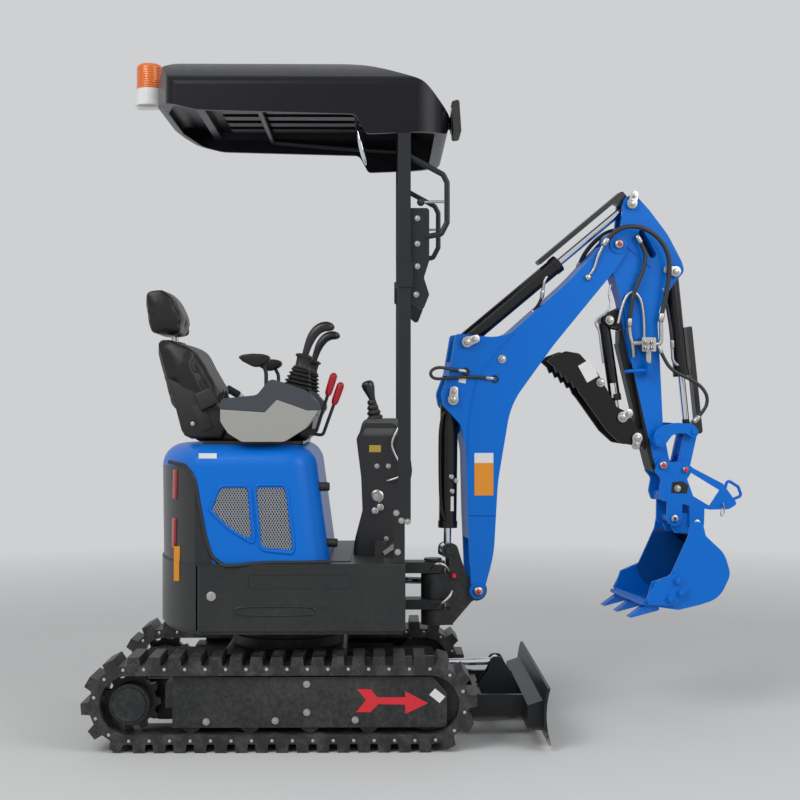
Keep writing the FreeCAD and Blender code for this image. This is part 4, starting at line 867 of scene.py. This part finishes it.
tower_plastic = black_moulding("tower plastic", (0.012, 0.012, 0.013), 0.4)
dress(tower_plastic, "control_tower")
dress(frame_paint, "pedals")
tower_low, tower_high = corners("control_tower")
dome = added("tower_dome", "cube", size=1)
dome.scale = (0.185, 0.232, 0.075)
dome.location = from_slew(358, 0, 1120)
finished(dome)
for vertex in dome.data.vertices:
    if vertex.co.z > 1.12:
        vertex.co.x += (vertex.co.x - from_slew(358, 0, 0).x) * -0.22
        vertex.co.y *= 0.9
put(eased(dome, 0.022, 5), slate, "house")
for side in (-1, 1):
    mark = "right" if side < 0 else "left"
    boot = repeated("lever_boot_" + mark, turned("boot", bellows(0.033, 0.015, 0.08, 4)),
                    [facing(from_slew(331, side * 46, 1150), (-0.2, 0, 1), (0, 1, 0))])
    put(boot, boot_rubber, "house")
    tube("lever_stem_" + mark, [from_slew(x, side * 46, z) for x, z in ((336, 1190), (328, 1215), (318, 1240))],
         0.009, grip_plastic, "house")
    knob = turned("knob", [(0, 0), (0.010, 0), (0.014, 0.022), (0.023, 0.054), (0.024, 0.070), (0.017, 0.080), (0, 0.083)])
    knob = repeated("lever_knob_" + mark, knob, [facing(from_slew(322, side * 46, 1222), (-0.32, 0, 1), (0, 1, 0))])
    put(knob, grip_plastic, "house")
    if side < 0:
        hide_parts("travel_levers")
TOWER_SIDE = tower_low.y * 1000
brass_film = printed("brass film", (0.55, 0.36, 0.05))
bolts("tower_bolts", "house", 0.0065, [from_slew(x, TOWER_SIDE, z) for x, z in ((337, 980), (380, 980), (372, 708))])
flat_piece("tower_plate", ((-22, -13), (22, -13), (22, 13), (-22, 13)), 0.0015, brass_film, "house",
           from_slew(330, TOWER_SIDE - 0.8, 1045), (0, -1, 0))
key = turned("key", [(0, 0), (0.024, 0), (0.024, 0.005), (0.019, 0.008), (0.017, 0.004), (0.009, 0.004), (0.009, 0.022), (0, 0.024)])
put(repeated("key_switch", key, [facing(from_slew(338, TOWER_SIDE, 867), (0, -1, 0))]), zinc_plate, "house")
socket_pair = turned("socket", [(0, 0), (0.013, 0), (0.013, 0.012), (0.008, 0.014), (0, 0.014)])
put(repeated("accessory_socket", socket_pair, [facing(from_slew(330, TOWER_SIDE, 812), (0, -1, 0)),
                                               facing(from_slew(350, TOWER_SIDE, 826), (0, -1, 0))]), zinc_plate, "house")
tube("lock_rod", [from_slew(x, TOWER_SIDE - reach, z) for x, reach, z in
                  ((428, 4, 1146), (420, 12, 1128), (390, 16, 1070), (396, 16, 1040), (428, 16, 978), (430, 14, 948),
                   (414, 12, 936), (382, 10, 926), (374, 4, 924))], 0.005, zinc_plate, "house")
for side in (-1, 1):
    flat_piece("tread_" + ("right" if side < 0 else "left"), ((-50, -40), (50, -40), (50, 40), (-50, 40)), 0.016, zinc_plate,
               "house", from_slew(396, side * 164, 686), (-0.56, 0, 0.83), (0.83, 0, 0.56))


# Canopy
# Square posts on bolted feet carry one moulded roof, glossy and ribbed below, with a bent tube under it.

roof_plastic = black_moulding("satin roof moulding", (0.005, 0.005, 0.007), 0.26, 0.004)
roof_plastic.surface(Specular_IOR_Level=0.22)
post_paint = coat("charcoal post paint", (0.017, 0.019, 0.022), 0.36, 0.06, 0.12)
post_paint.surface(Specular_IOR_Level=0.25)
dress(post_paint, "canopy_frame")
dress(roof_plastic, "canopy_roof")
half_tube = [(413, 394, 2250), (400, 394, 2250), (300, 394, 2256), (120, 394, 2270), (-50, 394, 2284), (-84, 392, 2287),
             (-92, 378, 2288), (-92, 340, 2288), (-92, 180, 2288)]
tube("roof_tube", [from_slew(x, -y, z) for x, y, z in half_tube] + [from_slew(x, y, z) for x, y, z in reversed(half_tube)],
     0.011, post_paint, "house")
for side in (-1, 1):
    mark = "right" if side < 0 else "left"
    bolts("foot_bolts_" + mark, "house", 0.0075, [from_slew(x, side * 423, z) for x, z in ((407, 828), (425, 801), (447, 797), (412, 690))],
          (0, side, 0))
    bolts("plate_screws_" + mark, "house", 0.007, [from_slew(x, side * 404.5, z) for x, z in ((478, 1600), (482, 1700),
                                                                                              (482, 1780), (482, 1870))],
          (0, side, 0))
    rod = tube("grab_rod_" + mark, [from_slew(x, y2, z) for x, y2, z in ((587, side * 400, 1930), (545, side * 400, 1930),
                                                                         (500, side * 400, 1928))], 0.005, zinc_plate, "house")
    knob = added("rod_knob_" + mark, "uv_sphere", segments=16, ring_count=10, radius=0.014,
                 location=from_slew(494, side * 400, 1928))
    put(eased(knob, 0.001), black_rubber, "house")


# Beacon
# Orange ribbed lens screwed on a white flanged base.

def lamp_plastic(name, colour, clear=0.0, ribs=0.0):
    f = Finish(name)
    f.surface(Base_Color=f.blend(f.clouds(0.02), colour, tuple(c * 0.85 for c in colour)), Roughness=0.14,
              Transmission_Weight=clear, IOR=1.5, Coat_Weight=0.5)
    if ribs:
        f.surface(Normal=f.relief((f.along("Z") * ribs).maths("SINE"), 0.001, 0.6))
    return f


dress(lamp_plastic("white lamp plastic", (0.8, 0.8, 0.78)), "beacon_base")
dress(lamp_plastic("orange lens", (1.0, 0.2, 0.008), 0.25, 700.0), "beacon_lens")
lamp_core = added("beacon_core", "cylinder", vertices=24, radius=0.024, depth=0.06, location=middle("beacon_lens"))
put(eased(lamp_core, 0.006, 3), zinc_plate, "house")


# Mirrors
# Oval black mirror at the roof's front corner, and a crescent one inside.

dress(black_rubber, "mirror")
glass = Finish("mirror glass")
glass.surface(Base_Color=(0.75, 0.77, 0.8), Metallic=1.0, Roughness=glass.clouds(0.05) * 0.05 + 0.03)
pane = added("front_mirror_glass", "uv_sphere", segments=24, ring_count=12, radius=1,
             scale=(0.006, 0.062, 0.05), location=from_slew(606, -300, 2238))
put(eased(pane, 0.0005), glass, "house")
back_mirror = added("inner_mirror", "uv_sphere", segments=28, ring_count=14, radius=1)
back_mirror.scale = (0.010, 0.045, 0.076)
back_mirror.rotation_euler = (0, math.radians(-14), 0)
back_mirror.location = from_slew(281, -352, 2140)
put(finished(back_mirror), glass, "house")
bpy.ops.object.shade_smooth()
tube("inner_mirror_arm", [from_slew(x, y, z) for x, y, z in ((268, -392, 2262), (264, -388, 2240), (262, -372, 2225),
                                                             (268, -356, 2214), (272, -352, 2200))], 0.005, post_paint, "house")


# Swing bracket
# Cast bracket on the swing pin, charcoal, with a zinc hose guide on each side of the nose.

dress(frame_paint, "swing_bracket")
SWING = Vector(JOINTS["boom_swing"]["pos_m"])
SWING_REST = math.radians(9)
RIGHT_FACE = Vector((math.sin(SWING_REST), -math.cos(SWING_REST), 0))
REACH = Vector((math.cos(SWING_REST), math.sin(SWING_REST), 0))


def on_front(reach, height, out=0.0):
    """Place in the boom's plane, in millimetres forward of the swing pin, above the floor and out to the right."""
    return Vector((SWING.x, SWING.y, 0)) + REACH * (reach / 1000) + RIGHT_FACE * (out / 1000) + Vector((0, 0, height / 1000))


for number, line in enumerate((((-16, 588, 62), (-10, 606, 78), (14, 612, 84), (40, 596, 80), (46, 580, 66)),
                               ((4, 446, 62), (10, 456, 80), (32, 470, 84), (52, 490, 80), (60, 504, 66)))):
    tube("hose_guide_%d" % (number + 1), [on_front(*spot) for spot in line], 0.006, zinc_plate, "swing_bracket")
red_cap = turned("cap", [(0, 0), (0.010, 0), (0.010, 0.012), (0.007, 0.018), (0, 0.019)])
put(repeated("bracket_cap", red_cap, [facing(on_front(70, 560, 46), RIGHT_FACE)]), red_film, "swing_bracket")


# Boom, arm and their pins
# Welded boxes of plate in the hood's blue gloss, chrome pins held by zinc lock plates.

dress(blue_paint, "boom", "hitch", "rocker", "h_link")
BODY_OF = {node: body for body, names in frame["record"]["behaviour"]["bodies"].items() for node in names}


FRONT_NODES = ("boom", "arm", "rocker", "h_link", "hitch", "bucket", "thumb", "swing_bracket")


def arm_paint():
    """Blue like the boom, with the thumb's bolted bracket on the arm's back in black."""
    f = coat("arm paint", BLUE, 0.38, 0.02, 0.08, 0.0001)
    f.surface(Specular_IOR_Level=0.18)
    reach = f.along("X") * REACH.x + f.along("Y") * REACH.y - SWING.dot(REACH)
    z = f.along("Z")
    behind = (reach + z * BRACKET_SLOPE).over(BRACKET_EDGE - 0.001, BRACKET_EDGE)
    bracket = (1 - behind) * (1 - z.over(1.640, 1.641))
    painted = Value(f, f.shader.inputs["Base Color"].links[0].from_socket)
    f.surface(Base_Color=f.blend(bracket, painted, (0.012, 0.012, 0.013)))
    return f


BRACKET_SLOPE = 110 / 466
BRACKET_EDGE = 0.749 + 1.500 * BRACKET_SLOPE
dress(arm_paint(), "arm")


def skin_of(reach, height, nodes=FRONT_NODES, out=400):
    """Place where a line from the right first meets the front end, and the body that is met."""
    start = on_front(reach, height, out)
    met = []
    for node in nodes:
        hit, place, _, _ = NODES[node].ray_cast(start, -RIGHT_FACE)
        if hit:
            met.append(((place - start).length, node, place))
    if not met:
        raise RuntimeError("nothing at %g, %g" % (reach, height))
    _, node, place = min(met, key=lambda found: found[0])
    return place, BODY_OF[node]


def lock_plate(length):
    """Teardrop keeper plate with its screw, pin end in its round end."""
    plate = added("plate", "cylinder", vertices=32, radius=0.021, depth=0.005, location=(0, 0, 0.0025))
    bpy.ops.object.mode_set(mode="EDIT")
    bpy.ops.mesh.select_all(action="DESELECT")
    mesh = bmesh.from_edit_mesh(plate.data)
    for vertex in mesh.verts:
        if vertex.co.y > 0.014:
            vertex.select = True
    mesh.select_flush_mode()
    bpy.ops.transform.translate(value=(0, length, 0))
    bpy.ops.object.mode_set(mode="OBJECT")
    eased(plate, 0.0014)
    screw = bolt_model(0.0075)
    screw.data.transform(Matrix.Translation((0, length, 0.005)))
    pin_end = turned("pin end", [(0, 0), (0.012, 0), (0.012, 0.007), (0.010, 0.009), (0, 0.009)])
    return in_one("plate", [plate, screw, pin_end])


LOCK_PLATES = ((118, 1448, 0.03, (1, 0.35)), (64, 1229, 0.03, (0.1, 1)), (777, 1992, 0.03, (0.3, 1)),
               (955, 1730, 0.03, (-1, 0.2)), (737, 1162, 0.024, (1, 0.6)), (795, 1080, 0.024, (-0.2, -1)))
for number, (reach, height, length, point) in enumerate(LOCK_PLATES):
    face, body = skin_of(reach, height)
    up = REACH * point[0] + Vector((0, 0, point[1]))
    put(repeated("lock_plate_%d" % (number + 1), lock_plate(length), [facing(face, RIGHT_FACE, up)]), zinc_plate, body)
RED_PINS = (("boom_tip_cap", 719, 1831, 0.021), ("arm_tip_cap", 899, 975, 0.019), ("link_foot_cap", 989, 957, 0.015),
            ("boom_foot_cap", 161, 502, 0.021))
for name, reach, height, radius in RED_PINS:
    face, body = skin_of(reach, height)
    washer = turned("washer", [(0.008, 0), (radius * 0.85, 0), (radius * 0.85, 0.003), (radius * 0.7, 0.006), (0.008, 0.008),
                               (0.008, 0)])
    put(repeated(name + "_washer", washer, [facing(face, RIGHT_FACE)]), zinc_plate, body)
    centre = turned("centre", [(0, 0), (0.009, 0), (0.009, 0.009), (0.006, 0.013), (0, 0.014)])
    put(repeated(name, centre, [facing(face, RIGHT_FACE)]), red_film, body)
for name, reach, height, radius in (("boom_side_bolt", 257, 1384, 0.011), ("thumb_side_bolt", 650, 1296, 0.012),
                                    ("thumb_base_end", 690, 1538, 0.012)):
    face, body = skin_of(reach, height)
    put(repeated(name, bolt_model(radius), [facing(face, RIGHT_FACE)]), zinc_plate, body)
boom_face = skin_of(185, 950)[0]
BOOM_SIDE = (boom_face - on_front(185, 950)).dot(RIGHT_FACE) * 1000
flat_piece("boom_sticker", ((-37, -62), (37, -62), (37, 62), (-37, 62)), 0.001, amber_film, BODY_OF["boom"],
           on_front(186, 926, BOOM_SIDE + 0.8), RIGHT_FACE)
flat_piece("boom_sticker_head", ((-37, -19), (37, -19), (37, 19), (-37, 19)), 0.001, white_film, BODY_OF["boom"],
           on_front(186, 1007, BOOM_SIDE + 0.8), RIGHT_FACE)
flat_piece("head_label", ((-14, -9), (14, -9), (14, 9), (-14, 9)), 0.001, white_film, BODY_OF["boom"],
           skin_of(102, 1302)[0] + RIGHT_FACE * 0.0008, RIGHT_FACE, REACH * 0.2 + Vector((0, 0, 0.98)))


def bead(name, node, line, radius=0.004):
    """Weld bead laid along a line on a node's right side."""
    tube(name, [skin_of(reach, height, (node,))[0] for reach, height in between(line, 4)], radius, blue_paint, BODY_OF[node])


bead("boom_foot_weld", "boom", ((128, 792), (180, 790), (228, 790)))
bead("boom_head_weld", "boom", ((305, 1482), (245, 1423), (192, 1358), (156, 1293), (137, 1220), (126, 1118), (122, 1000)), 0.003)
bead("arm_knee_weld", "arm", ((760, 1826), (815, 1780), (856, 1746)))


# Hydraulic hoses and valve block
# Black rubber hoses with silver crimped ends, an aluminium valve block and two blued pipes.

dress(zinc_plate, "valve_block")
hose_rubber = Finish("hose rubber")
hose_rubber.surface(Base_Color=hose_rubber.blend(hose_rubber.clouds(0.05, 5.0), (0.009, 0.009, 0.01), (0.03, 0.029, 0.027)),
                    Roughness=0.42, Normal=hose_rubber.relief(hose_rubber.cells(0.002), 0.0004, 0.4))


def hose(name, route, radius, body, bends_to=None):
    """Hose along a smooth line of route points, crimped at both ends; bends_to, if given, carries the far crimp on
    another body.
    """
    points = [on_front(*spot) for spot in route]
    tube(name, points, radius, hose_rubber, body, facets=4)
    piece = bpy.data.objects[name]
    for end, (first, second) in enumerate(((points[0], points[1]), (points[-1], points[-2]))):
        sleeve = turned("sleeve", [(0, 0), (radius * 0.7, 0), (radius * 1.25, 0.004), (radius * 1.35, 0.012), (radius * 1.35, 0.03),
                                   (radius * 1.15, 0.034), (0, 0.034)], 20)
        owner = bends_to if end and bends_to else body
        put(repeated("%s_crimp_%d" % (name, end + 1), sleeve, [facing(first, second - first, RIGHT_FACE)]), zinc_plate, owner)
    return piece


BOOM, ARM, BUCKET = BODY_OF["boom"], BODY_OF["arm"], BODY_OF["hitch"]
ARC_HOSE = ((652, 1822, 74), (672, 1852, 80), (720, 1895, 84), (792, 1901, 84), (857, 1875, 82), (901, 1829, 80), (922, 1775, 78),
            (922, 1717, 76), (909, 1628, 72), (897, 1580, 68), (889, 1531, 66))
FAR_HOSE = ((593, 1735, -60), (603, 1769, -62), (628, 1815, -64), (667, 1859, -66), (718, 1896, -68), (777, 1906, -70),
            (857, 1875, -70), (901, 1829, -70), (922, 1775, -70), (912, 1640, -66), (890, 1500, -60))
SLOT_HOSE = ((793, 1868, 62), (822, 1818, 66), (830, 1771, 68), (810, 1709, 66), (781, 1647, 64), (768, 1570, 62),
             (765, 1510, 58))
CURL_HOSE = ((905, 1690, 34), (908, 1645, 40), (923, 1600, 44), (933, 1540, 44), (944, 1481, 44), (947, 1428, 40))
CROWD_HOSE = ((428, 1655, 24), (425, 1625, 22), (413, 1596, 14), (395, 1570, 0), (384, 1545, -6))
LOOP_HOSE = ((880, 1442, 62), (903, 1388, 66), (935, 1341, 70), (1017, 1306, 74), (1058, 1275, 78), (1078, 1236, 80),
             (1068, 1190, 78), (1020, 1140, 74))
GROMMET_HOSE = ((118, 1336, 62), (80, 1341, 68), (39, 1347, 74), (8, 1352, 78), (-20, 1342, 78), (-26, 1322, 76), (-6, 1306, 74),
                (40, 1310, 70), (130, 1318, 66), (226, 1309, 62))
PIPE_ARCH = ((721, 1526, 54), (741, 1623, 56), (785, 1658, 58), (826, 1597, 58), (826, 1469, 56))
for name, route, radius, body in (("arc_hose_1", ARC_HOSE, 0.009, ARM), ("far_hose", FAR_HOSE, 0.009, ARM),
                                  ("slot_hose", SLOT_HOSE, 0.008, ARM), ("loop_hose", LOOP_HOSE, 0.007, ARM),
                                  ("grommet_hose", GROMMET_HOSE, 0.006, BOOM), ("curl_hose", CURL_HOSE, 0.006, ARM),
                                  ("crowd_hose", CROWD_HOSE, 0.006, BODY_OF["crowd_cylinder_barrel"])):
    hose(name, route, radius, body)
ELBOWS = (("pipe_arch", PIPE_ARCH, 0.006, ARM),
          ("arc_hose_elbow", ((660, 1836, 76), (640, 1796, 72), (631, 1772, 69), (624, 1742, 66), (610, 1716, 62), (596, 1701, 52)),
           0.006, ARM),
          ("block_elbow", ((890, 1540, 66), (891, 1500, 66), (892, 1470, 66), (890, 1450, 66), (878, 1445, 66), (850, 1445, 66)), 0.008,
           ARM),
          ("slot_hose_elbow", ((765, 1516, 58), (767, 1479, 58), (777, 1449, 58), (782, 1412, 56), (784, 1396, 50)), 0.008, ARM),
          ("block_inlet", ((780, 1449, 58), (812, 1449, 62)), 0.010, ARM),
          ("curl_pipe", ((946, 1434, 40), (947, 1400, 40), (951, 1376, 40), (970, 1365, 36)), 0.006, ARM),
          ("crowd_elbow", ((452, 1722, 16), (444, 1706, 26), (434, 1690, 28), (430, 1668, 26), (428, 1650, 24)), 0.006,
           BODY_OF["crowd_cylinder_barrel"]),
          ("thumb_pipe", ((695, 1675, 44), (682, 1637, 46), (696, 1604, 50), (674, 1563, 54), (636, 1543, 54), (628, 1522, 52),
                          (647, 1496, 50), (651, 1448, 50), (659, 1397, 50), (664, 1371, 46)), 0.004, ARM))
for name, route, radius, body in ELBOWS:
    tube(name, [on_front(*spot) for spot in route], radius, zinc_plate, body)
ring_nut = turned("ring nut", [(0, 0), (0.013, 0), (0.013, 0.010), (0.009, 0.013), (0, 0.013)], 6)
put(repeated("arc_hose_nut", ring_nut, [facing(skin_of(596, 1701)[0], RIGHT_FACE)]), zinc_plate, BOOM)
for number, (reach, height) in enumerate(((116, 1336), (229, 1308))):
    grommet = added("grommet_%d" % (number + 1), "torus", major_radius=0.012, minor_radius=0.004, major_segments=20, minor_segments=8)
    face, _ = skin_of(reach, height)
    put(repeated("grommet_%d" % (number + 1), grommet, [facing(face, RIGHT_FACE)]), black_rubber, BOOM)
stub = turned("stub", [(0, 0), (0.018, 0), (0.018, 0.006), (0.016, 0.008), (0.016, 0.044), (0.013, 0.048), (0, 0.048)])
stub = repeated("blue_stub", stub, [facing(on_front(839, 1372, 74), (0, 0, -1), RIGHT_FACE)])
put(stub, blue_paint, ARM)
tube("stub_pipe", [on_front(*spot) for spot in ((839, 1420, 74), (839, 1400, 74), (839, 1368, 74))], 0.010, zinc_plate, ARM)
tube("stub_elbow", [on_front(*spot) for spot in ((836, 1344, 74), (800, 1342, 70), (766, 1340, 60), (752, 1338, 46))],
     0.007, blue_paint, ARM)
for number, (reach, height, out) in enumerate(((822, 1452, 92), (846, 1452, 92), (822, 1430, 92), (846, 1430, 92))):
    elbow = turned("elbow", [(0, 0), (0.009, 0), (0.009, 0.010), (0.006, 0.012), (0.006, 0.022), (0, 0.022)], 16)
    put(repeated("block_fitting_%d" % (number + 1), elbow, [facing(on_front(reach, height, out), RIGHT_FACE)]), zinc_plate, ARM)


# Cylinders
# Barrels under black gloss paint, a feed pipe along the lift barrel, and rods of ground chrome.

barrel_paint = coat("black barrel paint", (0.006, 0.006, 0.007), 0.26, 0.06, 0.2)
barrel_paint.surface(Specular_IOR_Level=0.3)
chrome = Finish("chromed rod")
chrome.surface(Base_Color=(0.75, 0.76, 0.78), Metallic=1.0, Roughness=chrome.clouds(0.02, 4.0) * 0.08 + 0.06)
for name in NODES:
    if name.endswith("cylinder_barrel"):
        dress(barrel_paint, name)
    if name.endswith("cylinder_rod"):
        dress(chrome, name)
def guarded(name, eye, base):
    """Chrome on a rod, and black paint on its forged eye and on the guard bar beside it."""
    f = Finish(name)
    run = Vector((base[0] - eye[0], base[1] - eye[1])).normalized()
    reach = f.along("X") * REACH.x + f.along("Y") * REACH.y - (SWING.dot(REACH) + eye[0] / 1000)
    rise = f.along("Z") - eye[1] / 1000
    out = reach * run.y - rise * run.x
    forward = reach * run.x + rise * run.y
    black = out.over(0.030, 0.031).upper(1 - forward.over(0.048, 0.049))
    f.surface(Base_Color=f.blend(black, (0.75, 0.76, 0.78), (0.010, 0.010, 0.011)), Metallic=1 - black,
              Roughness=black * 0.22 + f.clouds(0.02, 4.0) * 0.08 + 0.06)
    return f


dress(guarded("crowd rod", (777, 1992), (118, 1448)), "crowd_cylinder_rod")
dress(guarded("curl rod", (1022, 1105), (955, 1730)), "curl_cylinder_rod")
for name, places in (("lift_fitting", ((63, 935), (82, 920))), ("lift_port", ((66, 880),))):
    barrel_spots = [skin_of(reach, height, ("lift_cylinder_barrel",))[0] for reach, height in places]
    nut = turned("nut", [(0, 0), (0.010, 0), (0.010, 0.012), (0.007, 0.014), (0.007, 0.022), (0, 0.022)], 6)
    put(repeated(name, nut, [facing(spot, RIGHT_FACE) for spot in barrel_spots]), zinc_plate, BODY_OF["lift_cylinder_barrel"])
flat_piece("lift_label", ((-6, -28), (6, -28), (6, 28), (-6, 28)), 0.001, white_film, BODY_OF["lift_cylinder_barrel"],
           skin_of(68, 832, ("lift_cylinder_barrel",))[0] + RIGHT_FACE * 0.0006, RIGHT_FACE)
flat_piece("thumb_cylinder_label", ((-11, -28), (11, -28), (11, 28), (-11, 28)), 0.001, white_film,
           BODY_OF["thumb_cylinder_barrel"], skin_of(714, 1266, ("thumb_cylinder_barrel",))[0] + RIGHT_FACE * 0.0006,
           RIGHT_FACE, REACH * -0.13 + Vector((0, 0, 0.99)))
FEEDS = (("lift_feed", "lift_cylinder_barrel", ((38, 1180), (22, 1150), (20, 1000), (24, 800), (40, 770)), 0.006, 24),)
for name, node, line, radius, out in FEEDS:
    tube(name, [on_front(reach, height, out + 8) for reach, height in line], radius, barrel_paint, BODY_OF[node])


# Hitch
# Two waisted blue plates on four pins, with a loop handle, a blank sticker and a spring clip.

HITCH_FACE = 66
flat_piece("hitch_sticker", ((-62, 39), (-47, 64), (69, -5), (27, -65), (-38, -27)), 0.001, white_film, BUCKET,
           on_front(1060, 880, HITCH_FACE - 0.2), RIGHT_FACE)
# Painted shade: flat near-black sheets stand where there is only shade, in the arm's hose slot and in the hitch's
# window.
hollow_shade = Finish("painted shade in hollows")
hollow_shade.surface(Base_Color=(0.006, 0.007, 0.01), Roughness=hollow_shade.clouds(0.02) * 0.2 + 0.6)
flat_piece("slot_painted_shadow", ((-41, 54), (-17, 54), (42, -44), (16, -60)), 0.003, hollow_shade, ARM, on_front(842, 1838, 0), RIGHT_FACE)
flat_piece("hitch_window_painted_shade", ((-34, -22), (30, -25), (37, 6), (14, 24), (-30, 20)), 0.001, hollow_shade, BUCKET,
           on_front(966, 888, HITCH_FACE - 0.6), RIGHT_FACE)
put(repeated("hitch_window_bolt", bolt_model(0.009), [facing(on_front(958, 884, HITCH_FACE), RIGHT_FACE)]), zinc_plate, BUCKET)
tube("spring_clip", [on_front(reach, height, 72) for reach, height in ((1142, 826), (1150, 806), (1146, 780), (1136, 772), (1132, 786),
                                                                    (1140, 806))], 0.0025, zinc_plate, BUCKET)
for number, (reach, height) in enumerate(((946, 766), (1037, 747))):
    ring = turned("ring", [(0.006, 0), (0.014, 0), (0.014, 0.004), (0.010, 0.006), (0.006, 0.006), (0.006, 0)])
    face, owner = skin_of(reach, height)
    put(repeated("hook_ring_%d" % (number + 1), ring, [facing(face, RIGHT_FACE)]), zinc_plate, owner)


# Bucket
# Pressed shell in blue with a scoured mouth and painted shade in its bowl, with bolted side cutters and flat teeth.

def scoured_and_shaded_bucket_paint():
    """Blue outside; painted shade darkens the bowl's inside towards navy black, and its mouth is scoured."""
    f = Finish("bucket paint")
    reach = f.along("X") * REACH.x + f.along("Y") * REACH.y - SWING.dot(REACH)
    across = (f.along("X") * RIGHT_FACE.x + f.along("Y") * RIGHT_FACE.y - SWING.dot(RIGHT_FACE)).maths("ABSOLUTE")
    z = f.along("Z")
    # from_bowl and inside mark the bowl's inside, which gets painted shade: its blue is darkened towards navy black
    # there.
    from_bowl = ((reach - 1.0) * (reach - 1.0) + (z - 0.58) * (z - 0.58)).maths("SQRT")
    inside = (1 - from_bowl.over(0.126, 0.128)) * (1 - across.over(0.181, 0.183))
    band = inside * z.over(0.69, 0.70)
    worn = f.clouds(0.02, 7.0, 0.7).over(0.5, 0.62) * (1 - z.over(0.40, 0.46)) * 0.7
    # blue is the paint's blue with that painted shade in the bowl.
    blue = f.blend(inside, BLUE, (0.002, 0.006, 0.03))
    f.surface(Base_Color=f.blend(worn.upper(band * 0.6), blue, (0.16, 0.16, 0.17)), Metallic=worn * 0.5,
              Roughness=worn * 0.15 + inside * 0.3 + 0.38,
              Specular_IOR_Level=0.18, Coat_Weight=0.08, Normal=f.relief(f.clouds(0.0022), 0.0001, 0.3))
    return f


dress(scoured_and_shaded_bucket_paint(), "bucket")
for side in (-1, 1):
    mark = "right" if side > 0 else "left"
    bolts("cutter_bolts_" + mark, BODY_OF["bucket"], 0.012,
          [on_front(reach, height, 200 * side) for reach, height in ((905, 540), (918, 494), (875, 473))],
          RIGHT_FACE * side, blue_paint)


# Thumb
# Two toothed plates on a web, satin black, with a blank sticker.

thumb_paint = coat("black thumb paint", (0.005, 0.005, 0.006), 0.4, 0.04, 0.06)
thumb_paint.surface(Specular_IOR_Level=0.25)
dress(thumb_paint, "thumb")
thumb_face = skin_of(600, 1340)[0]
flat_piece("thumb_sticker", ((-26, -37), (26, -37), (26, 37), (-26, 37)), 0.001, white_film, BODY_OF["thumb"],
           thumb_face + RIGHT_FACE * 0.0008, RIGHT_FACE, REACH * -0.5 + Vector((0, 0, 0.87)))


# Floor and light
# Pale floor under soft daylight, strongest from above the camera's left.

BACKDROP = (0.62, 0.63, 0.645)
NEAR, DISTANT = 3.0, 7.0
pale_floor = Finish("pale floor")
pale_floor.surface(Base_Color=pale_floor.blend(pale_floor.clouds(2.0), (0.6, 0.6, 0.59), (0.64, 0.64, 0.63)), Roughness=0.9)
away = pale_floor.node("ShaderNodeVectorMath", {"operation": "LENGTH"}, {0: pale_floor.place}, output=1)
seen = None
for ray in ("Is Camera Ray", "Is Glossy Ray", "Is Transmission Ray"):
    flag = pale_floor.node("ShaderNodeLightPath", output=ray)
    seen = flag if seen is None else seen.upper(flag)
glow = pale_floor.node("ShaderNodeEmission", {}, {"Color": BACKDROP})
mixed = pale_floor.node("ShaderNodeMixShader", {}, {0: away.over(NEAR, DISTANT) * seen,
                                                    1: Value(pale_floor, pale_floor.shader.outputs[0]), 2: glow})
pale_floor.feed(pale_floor.tree.nodes["Material Output"].inputs["Surface"], mixed)
floor = added("floor", "plane", size=60, location=(0, 0, -0.0005))
floor.data.materials.append(pale_floor.material)

world = bpy.data.worlds.new("daylight")
bpy.context.scene.world = world
world.use_nodes = True
links, sky = world.node_tree.links, world.node_tree.nodes["Background"]
sky.inputs["Color"].default_value = (0.8, 0.82, 0.85, 1)
sky.inputs["Strength"].default_value = 0.6
backdrop = world.node_tree.nodes.new("ShaderNodeBackground")
backdrop.inputs["Color"].default_value = (*BACKDROP, 1)
path_of_light = world.node_tree.nodes.new("ShaderNodeLightPath")
shown = path_of_light.outputs["Is Camera Ray"]
for ray in ("Is Glossy Ray", "Is Transmission Ray"):
    either = world.node_tree.nodes.new("ShaderNodeMath")
    either.operation = "MAXIMUM"
    links.new(shown, either.inputs[0])
    links.new(path_of_light.outputs[ray], either.inputs[1])
    shown = either.outputs[0]
choice = world.node_tree.nodes.new("ShaderNodeMixShader")
links.new(shown, choice.inputs[0])
links.new(sky.outputs[0], choice.inputs[1])
links.new(backdrop.outputs[0], choice.inputs[2])
links.new(choice.outputs[0], world.node_tree.nodes["World Output"].inputs["Surface"])
LAMPS = (((-3.5, -4.5, 5.5), 4.0, 240), ((4.5, -3.5, 4.0), 3.5, 130))
for place, size, energy in LAMPS:
    bpy.ops.object.light_add(type="AREA", location=place)
    lamp = bpy.context.object
    lamp.data.size = size
    lamp.data.energy = energy
    lamp.rotation_euler = (Vector((0, 0, 1.0)) - Vector(place)).to_track_quat("-Z", "Y").to_euler()
